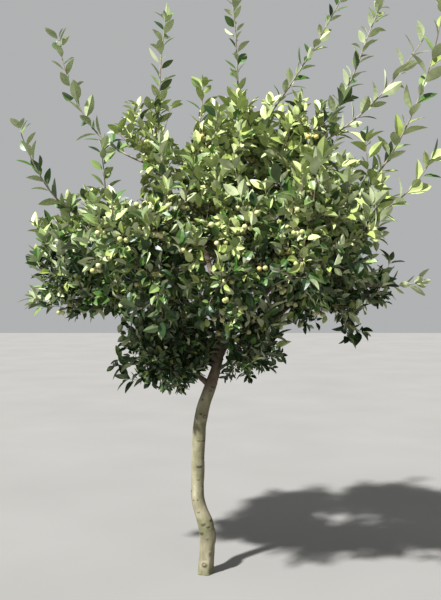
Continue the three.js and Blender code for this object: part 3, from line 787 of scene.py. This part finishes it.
class Mesh:
    """Vertices and faces, gathered in arrays, that become one piece."""

    def __init__(self):
        self.vertices = []
        self.groups = []
        self.count = 0

    def add(self, vertices, *groups):
        """Adds vertices, and groups of (faces, material slots, smooth) that number them from 0."""
        for faces, slots, smooth in groups:
            slots = np.broadcast_to(slots, len(faces))
            self.groups.append((faces + self.count, slots, np.full(len(faces), smooth)))
        self.vertices.append(vertices)
        self.count += len(vertices)

    def piece(self, name, materials):
        faces, slots, smooth = zip(*self.groups)
        vertices = np.concatenate(self.vertices) * METRES
        corners = np.concatenate([group.ravel() for group in faces])
        sizes = np.concatenate([np.full(len(group), group.shape[1]) for group in faces])
        mesh = bpy.data.meshes.new(name)
        mesh.vertices.add(len(vertices))
        mesh.vertices.foreach_set("co", vertices.ravel())
        mesh.loops.add(len(corners))
        mesh.loops.foreach_set("vertex_index", corners)
        mesh.polygons.add(len(sizes))
        mesh.polygons.foreach_set("loop_start", np.cumsum(sizes) - sizes)
        mesh.polygons.foreach_set("material_index", np.concatenate(slots))
        mesh.polygons.foreach_set("use_smooth", np.concatenate(smooth))
        mesh.update(calc_edges=True)
        for material in materials:
            mesh.materials.append(material)
        return new_object(name, mesh)


def tubes(mesh, centres, headings, radii, slot=0):
    """Adds closed tubes. centres and headings are (tubes, rings, 3), radii (tubes, rings, sides)."""
    count, rings, sides = radii.shape
    side = RIGHT
    side_vectors = np.empty_like(headings)
    for ring in range(rings):
        side = unit(across(side, headings[:, ring]))
        side_vectors[:, ring] = side
    up_vectors = np.cross(headings, side_vectors)
    ring_spokes = spokes(sides, side_vectors[:, :, None], up_vectors[:, :, None])
    vertices = centres[:, :, None] + radii[..., None] * ring_spokes
    grid = np.arange(count * rings * sides).reshape(count, rings, sides)
    after = np.roll(grid, -1, axis=2)
    walls = np.stack([grid[:, :-1], after[:, :-1], after[:, 1:], grid[:, 1:]], axis=-1)
    mesh.add(vertices.reshape(-1, 3),
             (walls.reshape(-1, 4), slot, True),
             (grid[:, 0, ::-1], slot, False),
             (grid[:, -1], slot, False))


def tapered(mesh, limbs, radii, rings, sides, slot):
    """Adds smooth tubes along limbs, each tapering between two radii."""
    if not limbs:
        return
    t = np.linspace(0, 1, rings)
    centres = np.array([limb.at(t) for limb in limbs])
    headings = np.array([limb.heading(t) for limb in limbs])
    widths = radii[0] + (radii[1] - radii[0]) * t
    tubes(mesh, centres, headings, np.broadcast_to(widths[:, None], (len(limbs), rings, sides)), slot)


# Trunk and boughs

def bark_relief(points):
    """How far the bark stands out at each point."""
    return sum(rise * lumps(points, size, seed) for seed, (rise, size) in enumerate(BARK_LUMPS, 1))


def marks_apart(heights, angles, height, angle):
    """How far each place on the trunk is from a mark, along the bark."""
    return np.hypot(turned(angles, angle) * trunk_radius(height), heights[:, None] - height)


def trunk_marks(heights, angles):
    """The stand-off and the darkness of the scars and knobs on the trunk, by height and angle."""
    rise = np.zeros((len(heights), len(angles)))
    dark = np.zeros_like(rise)
    for height, angle, width, tall in SCARS:
        off = turned(angles, angle) / width
        level = (heights[:, None] - height - SCAR_ARCH * tall * off ** 2) / tall
        ends = np.clip(SCAR_ENDS - off ** 2, 0, 1)
        lips = LIP_RELIEF * np.exp(-(np.abs(level) - LIP_PLACE) ** 2)
        rise += ends * (lips - GROOVE_RELIEF * np.exp(-level ** 2))
        dark = np.maximum(dark, ends * np.exp(-level ** 4))
    for height, angle, radius, stand in KNOBS + SWELLINGS:
        rise += stand * np.exp(-(marks_apart(heights, angles, height, angle) / radius) ** 4)
    for height, angle, radius, stand in KNOBS:
        apart = marks_apart(heights, angles, height, angle) / radius
        rise -= PIT_DEPTH * stand * np.exp(-(apart / PIT_RADIUS) ** 2)
        dark = np.maximum(dark, RIM_DARKNESS * np.exp(-((apart - RIM_RADIUS) / RIM_WIDTH) ** 2))
    return rise, dark


def trunk_zones(heights, angles):
    """How greenish and how brown the trunk's bark is, by height and angle, both partly painted shade:
    the brown under the crown and down the trunk's shaded side.
    """
    green_and_shade = sum(np.exp(-((heights[:, None] - middle) / tall) ** 2 - (turned(angles, angle) / width) ** 2)
                for middle, tall, angle, width in GREEN_AND_SHADE_ZONES)
    # Painted shade down the trunk's shaded side
    side = np.clip(np.cos(turned(angles, SHADED_SIDE)), 0, 1) ** 2
    brown = np.maximum(smoothstep(heights, *BROWN_AND_SHADE_HEIGHTS)[:, None], SHADED_SIDE_SHARE * side)
    return np.minimum(green_and_shade, 1), brown


def add_marks(piece, name, values):
    """Gives each point of a piece a number from 0 to 1 that its material reads by name."""
    attribute = piece.data.attributes.new(name, "FLOAT", "POINT")
    attribute.data.foreach_set("value", values.ravel().astype(np.float32))


def trunk_piece(material):
    """Trunk, from the flat cut at the ground to the fork, with root flare, scars and knobs."""
    heights = np.append(np.arange(0, FORK_HEIGHT, TRUNK_RING_STEP), FORK_HEIGHT)
    centres = trunk_centre(heights)
    headings = unit(trunk_centre(heights + SLOPE_STEP) - trunk_centre(heights - SLOPE_STEP))
    headings[[0, -1]] = UP
    spin = turns(TRUNK_SIDES)
    from_front = spin + np.pi / 2
    lobes = 1 + (LOBE_DEPTH * np.cos(FLARE_LOBES * spin)
                 * np.exp(-heights[:, None] / (2 * FLARE_HEIGHT)))
    radii = trunk_radius(heights)[:, None] * lobes
    surface = centres[:, None] + radii[..., None] * spokes(TRUNK_SIDES, RIGHT, BACK)
    rise, dark = trunk_marks(heights, from_front)
    green_and_shade, brown = trunk_zones(heights, from_front)
    mesh = Mesh()
    tubes(mesh, centres[None], headings[None], (radii + rise + bark_relief(surface))[None])
    piece = mesh.piece("trunk_bark", [material])
    for name, values in (("scar", dark), ("green_and_shade", green_and_shade), ("brown", brown)):
        add_marks(piece, name, values)
    return piece


def bough_width(limb, radii, collar, distances, draw):
    """A bough's radius along its length, and how dark it is: a taper, a collar at its foot and
    rings of bud scars."""
    places = np.arange(BUD_SCARS_FROM, limb.span, BUD_SCAR_STEP)
    places = places + draw.uniform(-BUD_SCAR_SPREAD, BUD_SCAR_SPREAD, len(places))
    rings = np.exp(-((distances - places[:, None]) / BUD_SCAR_LENGTH) ** 2).sum(0)
    swell = 1 + COLLAR_SWELL * np.exp(-(distances / (COLLAR_LENGTH * collar)) ** 2)
    width = np.interp(distances / limb.span, (0, 1), radii) * swell
    return width + BUD_SCAR_RISE * rings, BUD_SCAR_DARKNESS * rings


def collar_radius(name):
    """The radius of what a bough grows on, which its collar spreads over."""
    bough = BOUGHS[name]
    if name == "leader":
        return LEADER_COLLAR
    return trunk_radius(bough.at) if bough.on == "trunk" else BOUGHS[bough.on].radii[0]


def boughs_piece(limbs, material):
    """Boughs, each a tube that swells where it leaves its parent."""
    mesh = Mesh()
    draw = np.random.default_rng(BOUGH_SEED)
    darks = []
    ring = spokes(BOUGH_SIDES, RIGHT, BACK)
    for name, limb in limbs.items():
        t = np.linspace(-BOUGH_SINK / limb.span, 1, int(limb.span / BOUGH_RING_STEP))
        width, dark = bough_width(limb, BOUGHS[name].radii, collar_radius(name), t * limb.span, draw)
        centres = limb.at(t)
        rough = bark_relief(centres[:, None] + width[:, None, None] * ring)
        radii = width[:, None] * (1 + rough / FORK_RADIUS)
        tubes(mesh, centres[None], limb.heading(t)[None], radii[None])
        darks.append(np.repeat(dark, BOUGH_SIDES))
    piece = mesh.piece("boughs_bark", [material])
    add_marks(piece, "scar", np.concatenate(darks))
    return piece


# Twigs

def twigs_piece(mass, materials):
    """Stem, twigs, sprigs and water shoots of one mass."""
    mesh = Mesh()
    stem_radii = (BOUGHS[mass.name].radii[1] + JOINT_GAP, STEM_END_RADIUS)
    rising = mass.young + [limb for limb, _, _ in mass.front]
    tapered(mesh, [mass.stem], stem_radii, *STEM_TUBE)
    tapered(mesh, mass.source, SOURCE_TWIG_RADII, *SOURCE_TWIG_TUBE)
    tapered(mesh, mass.fine, FINE_TWIG_RADII, *FINE_TWIG_TUBE)
    tapered(mesh, rising, SPRIG_RADII, *SPRIG_TUBE)
    tapered(mesh, [limb for limb, _, _ in mass.shoots], SHOOT_RADII, *SHOOT_TUBE)
    return mesh.piece(mass.name + "_twigs", materials)


# Leaves

def leaf_template(stations):
    """A leaf's faces: an upper and a lower sheet that share their rim, and a stalk."""
    left, right, upper, lower = (1 + stations * k + np.arange(stations) for k in range(4))
    base, tip, stalk = 0, 1 + 4 * stations, 2 + 4 * stations
    sheets = []
    for rib, flip in ((upper, False), (lower, True)):
        faces = [(base, rib[0], left[0]), (base, right[0], rib[0])]
        for i in range(stations - 1):
            faces += [(left[i], rib[i], rib[i + 1]), (left[i], rib[i + 1], left[i + 1]),
                      (rib[i], right[i], right[i + 1]), (rib[i], right[i + 1], rib[i + 1])]
        faces += [(left[-1], rib[-1], tip), (rib[-1], right[-1], tip)]
        sheets.append([face[::-1] if flip else face for face in faces])
    stalks = [(stalk, stalk + 1, base), (stalk + 1, stalk + 2, base), (stalk + 2, stalk, base),
              (stalk + 2, stalk + 1, stalk)]
    return np.array(sheets[0]), np.array(sheets[1]), np.array(stalks)


def leaf_points(length, width, curl, fold, stations):
    """A leaf's vertices in its own axes, forward, sideways and up, in leaf_template's order. The
    blade bends back along its length and folds up along its midrib."""
    places, widths = np.array(STATION_PLACES[stations]), np.array(STATION_WIDTHS[stations])
    along, half = places * length, widths * width / 2
    bend = -curl * length * places ** 2
    rim, thick = bend + fold * half, LEAF_THICKNESS * length / 2
    foot = np.full((len(length), 3), -PETIOLE_LENGTH)
    stalk = PETIOLE_RADIUS * np.array([np.cos(turns(3)), np.sin(turns(3))])

    def rows(*axes):
        return np.stack(np.broadcast_arrays(*axes), axis=-1)
    return np.concatenate([
        rows(0 * length, 0, 0), rows(along, -half, rim), rows(along, half, rim),
        rows(along, 0, bend + thick), rows(along, 0, bend - thick), rows(length, 0, -curl * length),
        rows(foot, *stalk)], axis=1)


def add_leaves(mesh, leaves, stations):
    """Adds leaves, given as an array for each of root, heading, normal, length, width, curl, fold
    and tint."""
    heading, normal = leaves["heading"][:, None], leaves["normal"][:, None]
    sizes = [leaves[key][:, None] for key in ("length", "width", "curl", "fold")]
    forward, sideways, rise = np.split(leaf_points(*sizes, stations), 3, axis=-1)
    base = leaves["root"][:, None] + PETIOLE_LENGTH * heading
    vertices = base + forward * heading + sideways * np.cross(heading, normal) + rise * normal
    count, size, _ = vertices.shape
    first = size * np.arange(count)[:, None, None]
    upper, lower, stalk = leaf_template(stations)
    tint = leaves["tint"]
    under = len(LEAF_TINTS) + np.array(UNDERSIDE_OF)[tint]
    mesh.add(vertices.reshape(-1, 3), *(
        ((faces + first).reshape(-1, 3), np.repeat(slots, len(faces)), False)
        for faces, slots in ((upper, tint), (lower, under), (stalk, under))))


def leaves_on(limb, kind, length, draw, tint):
    """The leaves of one twig or shoot, by golden angle from its tip down to its bare foot."""
    first = kind["first"]
    count = max(FEWEST_LEAVES, round(limb.span * (1 - first) / (kind["spacing"] * length)))
    t = np.concatenate([TIP_TUFT[:kind["tuft"]], np.linspace(1, first, count)])
    count = len(t)
    direction = limb.heading(t)
    level = np.array([direction[0][1], -direction[0][0], FIRST_LEAF_RISE])
    aside = unit(across(level, direction))
    turn = GOLDEN_ANGLE * np.arange(count)[:, None] + draw.uniform(-LEAF_TURN, LEAF_TURN, (count, 1))
    aside = np.cos(turn) * aside + np.sin(turn) * np.cross(direction, aside)
    angle = kind["angle"] * draw.uniform(*ANGLE_SHARES, (count, 1))
    angle[0] = TIP_ANGLE
    heading = unit(np.cos(angle) * direction + np.sin(angle) * aside + kind["lift"] * UP)
    outward = unit((limb.end - CROWN_CENTRE) * OUT_OF_CROWN)
    facing = kind["up"] * UP + kind["out"] * outward + kind["away"] * aside
    normal = unit(across(facing + draw.normal(0, kind["tilt"], (count, 3)), heading))
    size = length * draw.uniform(*kind["sizes"], count)
    if kind is SHOOT_LEAF:
        size *= np.interp(t, *SHOOT_SIZES)
    odd = draw.uniform(size=count) < ODD_LEAVES
    tints = np.where(odd, draw.integers(0, YOUNG, count), tint)
    return dict(root=limb.at(t), heading=heading, normal=normal, length=size,
                width=kind["width"] * size * draw.uniform(*WIDTH_SHARES, count),
                curl=draw.uniform(*kind["curl"], count), fold=draw.uniform(*kind["fold"], count),
                tint=tints)


def spray_tint(limb, draw):
    """A tint for the leaves of one twig: the higher it is, the more likely a young, pale one, and the
    lower, a dark one. This is partly real young growth and partly painted light above and painted shade
    below.
    """
    shares = np.cumsum([share for _, _, share in LEAF_TINTS])
    level = (limb.end[2] - LOWEST_LEAF) / (HIGHEST_LEAF - LOWEST_LEAF) - 0.5
    return np.searchsorted(shares, np.clip(draw.uniform() + YOUNGER_AND_LIT_ABOVE * level, 0, shares[-1]))


def crown_leaf_length(limb):
    return CROWN_LEAF["length"] * np.interp(limb.end[2], *CROWN_SIZES)


def hides_fruit(places, clusters):
    """Whether each place stands in the view of a cluster of fruit."""
    fruit = np.array([place - STALK_LENGTH * UP for place, _, _ in clusters])
    outward = np.array([facing for _, _, facing in clusters])
    gaps = places[:, None] - fruit
    along = np.clip((gaps * outward).sum(-1, keepdims=True), 0, FRUIT_VIEW_DEPTH)
    return (np.linalg.norm(gaps - along * outward, axis=-1) < FRUIT_VIEW).any(-1)


def leaves_piece(mass, clusters, bough_lengths, materials):
    """Leaves of one mass: a full crown of them on its twigs, and longer ones up its shoots."""
    draw = draws(LEAF_SEED, mass)
    crown = [(twig, crown_leaf_length(twig), spray_tint(twig, draw)) for twig in mass.twigs]
    young = [(limb, SPRIG_LEAF["length"], spray_tint(limb, draw)) for limb in mass.young]
    growth = [(CROWN_LEAF, crown), (SPRIG_LEAF, young), (SPRIG_LEAF, mass.front),
              (SHOOT_LEAF, mass.shoots)]
    mesh = Mesh()
    for kind, limbs in growth:
        if not limbs:
            continue
        sprays = [leaves_on(limb, kind, length, draw, tint) for limb, length, tint in limbs]
        leaves = {key: np.concatenate([spray[key] for spray in sprays]) for key in sprays[0]}
        reach = (PETIOLE_LENGTH + leaves["length"])[:, None] * leaves["heading"]
        tips, middles = leaves["root"] + reach, leaves["root"] + reach / 2
        keep = ((tips > BOX_LOW) & (tips < BOX_HIGH)).all(-1)
        keep &= ~bough_lengths.touched(middles, mass.name, LEAF_ROOM)
        if kind is not SHOOT_LEAF:
            keep &= ~(hides_fruit(middles, clusters) | cleared(middles))
        add_leaves(mesh, {key: values[keep] for key, values in leaves.items()}, kind["stations"])
    return mesh.piece(mass.name + "_leaves", materials)


# Fruit

def add_fruit(mesh, centre, axis, tint):
    """Adds one fruit about its centre. Its axis points to the stalk, away from the calyx."""
    turn = np.pi * np.arange(1, FRUIT_RINGS) / FRUIT_RINGS
    rise = FRUIT_HALF_HEIGHT * np.cos(turn) - DIMPLE_DEPTH * np.exp(-(turn / DIMPLE_ANGLE) ** 2)
    width = np.sin(turn) ** FRUIT_FULLNESS
    side = unit(across(FRUIT_SIDEWAYS, axis))
    up = np.cross(axis, side)
    around = width[:, None, None] * spokes(FRUIT_SIDES, side, up)
    rings = centre + FRUIT_RADIUS * (rise[:, None, None] * axis + around)
    vertices = np.concatenate([rings.reshape(-1, 3), centre + FRUIT_RADIUS * FRUIT_POLES * axis])
    grid = np.arange(len(rise) * FRUIT_SIDES).reshape(len(rise), FRUIT_SIDES)
    after = np.roll(grid, -1, axis=1)
    walls = np.stack([grid[:-1], grid[1:], after[1:], after[:-1]], axis=-1).reshape(-1, 4)
    top, bottom = (np.full(FRUIT_SIDES, grid.size + pole) for pole in range(2))
    caps = np.concatenate([np.stack([top, grid[0], after[0]], axis=-1),
                           np.stack([bottom, after[-1], grid[-1]], axis=-1)])
    mesh.add(vertices, (walls, tint, True), (caps, tint, True))
    add_calyx(mesh, centre - CALYX_PLACE * FRUIT_RADIUS * axis, -axis, side, up)


def add_calyx(mesh, foot, axis, side, up):
    """Dark dry sepals that stand in a ring at the end of a fruit, each a slim pyramid."""
    for out in spokes(SEPALS, side, up):
        root = foot + SEPAL_ROOT * CALYX_RADIUS * out
        aside = SEPAL_HALF_WIDTH * np.cross(axis, out)
        vertices = np.array([root + aside, root - aside, root - SEPAL_DEPTH * out,
                             foot + CALYX_RADIUS * out + CALYX_LENGTH * axis])
        mesh.add(vertices, (np.array([(0, 1, 3), (1, 2, 3), (2, 0, 3), (0, 2, 1)]), CALYX_SLOT, False))


def add_cluster(mesh, place, count, draw):
    """Fruits that hang from one place on a twig, each on its own stalk."""
    stalks, centres, axes = [], [], []
    for turn in draw.uniform(0, 2 * np.pi) + turns(count):
        out = FRUIT_RADIUS * CLUSTER_SPREADS[count] * (math.cos(turn) * RIGHT + math.sin(turn) * BACK)
        end = place + out - UP * (STALK_LENGTH + draw.uniform(*STALK_SPREAD))
        axis = unit(place + STALK_LEAN * out - end)
        centres.append(end - STALK_END * FRUIT_RADIUS * axis)
        axes.append(axis)
        stalks.append(Limb(place, end, STALK_BOW * out))
    tapered(mesh, stalks, (STALK_RADIUS, STALK_RADIUS), *STALK_TUBE)
    tints = np.searchsorted(FRUIT_SHARES, draw.uniform(size=count))
    for centre, axis, tint in zip(centres, axes, tints):
        add_fruit(mesh, centre, axis, tint)


def fruit_piece(mass, materials):
    """Fruit of one mass, in clusters."""
    draw = draws(FRUIT_SEED, mass)
    mesh = Mesh()
    for place, count, _ in mass.clusters:
        add_cluster(mesh, place, count, draw)
    return mesh.piece(mass.name + "_fruit", materials)


# Materials

def grey(value):
    return (value, value, value)


class Look:
    """A node material whose colours follow noise through the object's own space."""

    def __init__(self, name, roughness):
        self.material = bpy.data.materials.new(name)
        self.material.use_nodes = True
        self.tree = self.material.node_tree
        self.shader = self.tree.nodes["Principled BSDF"]
        self.fill(self.shader, {"Roughness": roughness})

    def fill(self, node, inputs):
        """Links a node's inputs to sockets, or sets them to values, by name or number."""
        for key, value in inputs.items():
            if isinstance(value, bpy.types.NodeSocket):
                self.tree.links.new(value, node.inputs[key])
            else:
                node.inputs[key].default_value = value

    def node(self, kind, inputs, **settings):
        """A new node of one kind, with its settings and its inputs."""
        node = self.tree.nodes.new("ShaderNode" + kind)
        for name, value in settings.items():
            setattr(node, name, value)
        self.fill(node, inputs)
        return node

    def noise(self, scale, detail=3.0, upward=1.0):
        """Noise of about the given scale per metre, times upward along the height."""
        place = self.node("TexCoord", {}).outputs["Object"]
        place = self.node("Mapping", {"Vector": place, "Scale": (1, 1, upward)}).outputs["Vector"]
        return self.node("TexNoise", {"Vector": place, "Scale": scale, "Detail": detail}).outputs["Fac"]

    def tones(self, *stops, **noise_sizes):
        """Colours by noise. stops are (position, colour)."""
        node = self.node("ValToRGB", {"Fac": self.noise(**noise_sizes)})
        elements = node.color_ramp.elements
        while len(elements) < len(stops):
            elements.new(0.5)
        for element, (position, colour) in zip(elements, stops):
            element.position = position
            element.color = (*colour, 1)
        return node.outputs["Color"]

    def marks(self, name, scale, least):
        """A piece's own marks of one name, broken up by noise that leaves at least a share of them."""
        marks = self.node("Attribute", {}, attribute_name=name).outputs["Fac"]
        breaks = self.tones((0.35, grey(least)), (0.6, grey(1)), scale=scale)
        return self.node("Math", {0: marks, 1: breaks}, operation="MULTIPLY").outputs[0]

    def over(self, base, share, colour):
        """A base with a plain colour over it, by share."""
        inputs = {FACTOR_INPUT: share, BASE_INPUT: base, COLOUR_INPUT: (*colour, 1)}
        return self.node("Mix", inputs, data_type="RGBA").outputs[MIXED_OUTPUT]

    def bump(self, strength, distance, **noise_sizes):
        """Gives the surface fine relief by noise, up to a distance in metres."""
        height = self.noise(**noise_sizes)
        node = self.node("Bump", {"Strength": strength, "Distance": distance, "Height": height})
        self.fill(self.shader, {"Normal": node.outputs["Normal"]})

    def coloured(self, base):
        """The material, with its base colour linked."""
        self.fill(self.shader, {"Base Color": base})
        return self.material


def bark_material(name, tones, green_and_shade):
    """Bark: mottled tones, greenish and brown zones that are partly painted shade, small dark pores and
    cross scars.
    """
    look = Look(name, BARK_ROUGHNESS)
    base = look.tones(*zip((0.3, 0.5, 0.7), tones), scale=16, detail=5, upward=0.4)
    patches = look.tones((0.5, grey(0)), (0.7, grey(0.6)), scale=9)
    pores = look.tones((0.62, grey(0)), (0.72, grey(0.6)), scale=150, detail=2, upward=1.6)
    base = look.over(base, patches, green_and_shade)
    # Greenish zones of the trunk, partly painted shade
    base = look.over(base, look.marks("green_and_shade", scale=20, least=0.2), green_and_shade)
    # Brown bark, partly painted shade
    base = look.over(base, look.marks("brown", scale=24, least=0.5), BROWN_AND_SHADE_BARK)
    base = look.over(base, pores, SCAR_COLOUR)
    base = look.over(base, look.marks("scar", scale=90, least=0.8), SCAR_COLOUR)
    look.bump(strength=0.5, distance=0.0015, scale=220, detail=6, upward=0.6)
    return look.coloured(base)


def wood_material(name, dark, pale):
    """Bark of twigs and shoots: streaked between two tones."""
    look = Look(name, WOOD_ROUGHNESS)
    look.bump(strength=0.3, distance=0.0006, scale=400)
    return look.coloured(look.tones((0.35, dark), (0.65, pale), scale=60, detail=4, upward=0.5))


def leaf_material(name, colour, roughness, gloss, sheen=0.0):
    """One side of a leaf: its tint a little lighter and darker from place to place."""
    look = Look(name, roughness)
    look.fill(look.shader, {"Specular IOR Level": gloss, "Sheen Weight": sheen})
    look.bump(strength=0.15, distance=0.0003, scale=500, detail=2)
    dark, pale = (tuple(shade * part for part in colour) for shade in LEAF_SHADES)
    return look.coloured(look.tones((0.35, dark), (0.65, pale), scale=14, detail=2))


def fruit_material(name, skin, blush):
    """Skin of a fruit: pale, with a blush and fine dots."""
    look = Look(name, FRUIT_ROUGHNESS)
    base = look.tones((0.4, skin), (0.68, blush), scale=26)
    dots = look.tones((0.66, grey(0)), (0.7, grey(0.5)), scale=600, detail=1)
    return look.coloured(look.over(base, dots, FRUIT_DOTS))


def floor_material():
    """Plain pale studio floor."""
    look = Look("floor", FLOOR_ROUGHNESS)
    dark, pale = FLOOR_TONES
    return look.coloured(look.tones((0.3, dark), (0.7, pale), scale=0.8, detail=2))


# Stage

def set_view():
    bpy.context.scene.view_settings.view_transform = "Standard"


def add_camera():
    data = bpy.data.cameras.new("camera")
    data.lens = CAMERA_LENS_MM
    data.sensor_width = CAMERA_SENSOR_MM
    camera = new_object("camera", data)
    camera.location = Vector(CAMERA_PLACE) * METRES
    camera.rotation_euler = (math.pi / 2, 0, 0)
    bpy.context.scene.camera = camera


def add_light():
    """A soft sun from the upper left in front, and an even pale sky."""
    data = bpy.data.lights.new("sun", "SUN")
    data.energy = SUN_STRENGTH
    data.angle = SUN_SPREAD
    new_object("sun", data).rotation_euler = Vector(SUN_FROM).to_track_quat("Z", "Y").to_euler()
    world = bpy.data.worlds.new("studio")
    world.use_nodes = True
    background = world.node_tree.nodes["Background"]
    background.inputs["Color"].default_value = (*SKY_COLOUR, 1)
    background.inputs["Strength"].default_value = SKY_STRENGTH
    bpy.context.scene.world = world


def add_floor():
    mesh = Mesh()
    half = FLOOR_SIZE / 2
    corners = np.array([(-half, -half, 0), (half, -half, 0), (half, half, 0), (-half, half, 0)])
    mesh.add(corners, (np.array([(0, 1, 2, 3)]), 0, False))
    mesh.piece("floor", [floor_material()])


# The tree

def placed(piece, slot, *nodes):
    """Rides a piece on the tree, in place of the solids that it stands for."""
    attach(piece, "root")
    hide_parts(*nodes)


def add_wood(limbs):
    trunk_bark = bark_material("trunk_bark", TRUNK_TONES, TRUNK_GREEN_AND_SHADE)
    bough_bark = bark_material("bough_bark", BOUGH_TONES, BOUGH_GREEN)
    placed(trunk_piece(trunk_bark), "trunk_bark", "trunk")
    placed(boughs_piece(limbs, bough_bark), "bough_bark", *(name + "_bough" for name in limbs))


def add_foliage(masses, bough_lengths):
    """A piece each for the twigs, the leaves and the fruit of every mass."""
    woods = [wood_material(*tones) for tones in TWIG_WOODS]
    leaves = [leaf_material(name, colour, LEAF_ROUGHNESS, LEAF_GLOSS) for name, colour, _ in LEAF_TINTS]
    leaves += [leaf_material(name, colour, FELT_ROUGHNESS, FELT_GLOSS, FELT_SHEEN)
               for name, colour in UNDERSIDES]
    fruit = [fruit_material(*colours) for colours in FRUIT_COLOURS]
    fruit += [wood_material(*tones) for tones in FRUIT_WOODS]
    clusters = [cluster for mass in masses for cluster in mass.clusters]
    for mass in masses:
        pieces = (twigs_piece(mass, woods), leaves_piece(mass, clusters, bough_lengths, leaves),
                  fruit_piece(mass, fruit))
        for piece in pieces:
            placed(piece, "foliage", mass.name + "_foliage")


def add_tree():
    limbs = bough_limbs()
    add_wood(limbs)
    add_foliage(grown_masses(limbs), Lengths(bough_entries(limbs)))


set_view()
add_camera()
add_light()
add_floor()
add_tree()
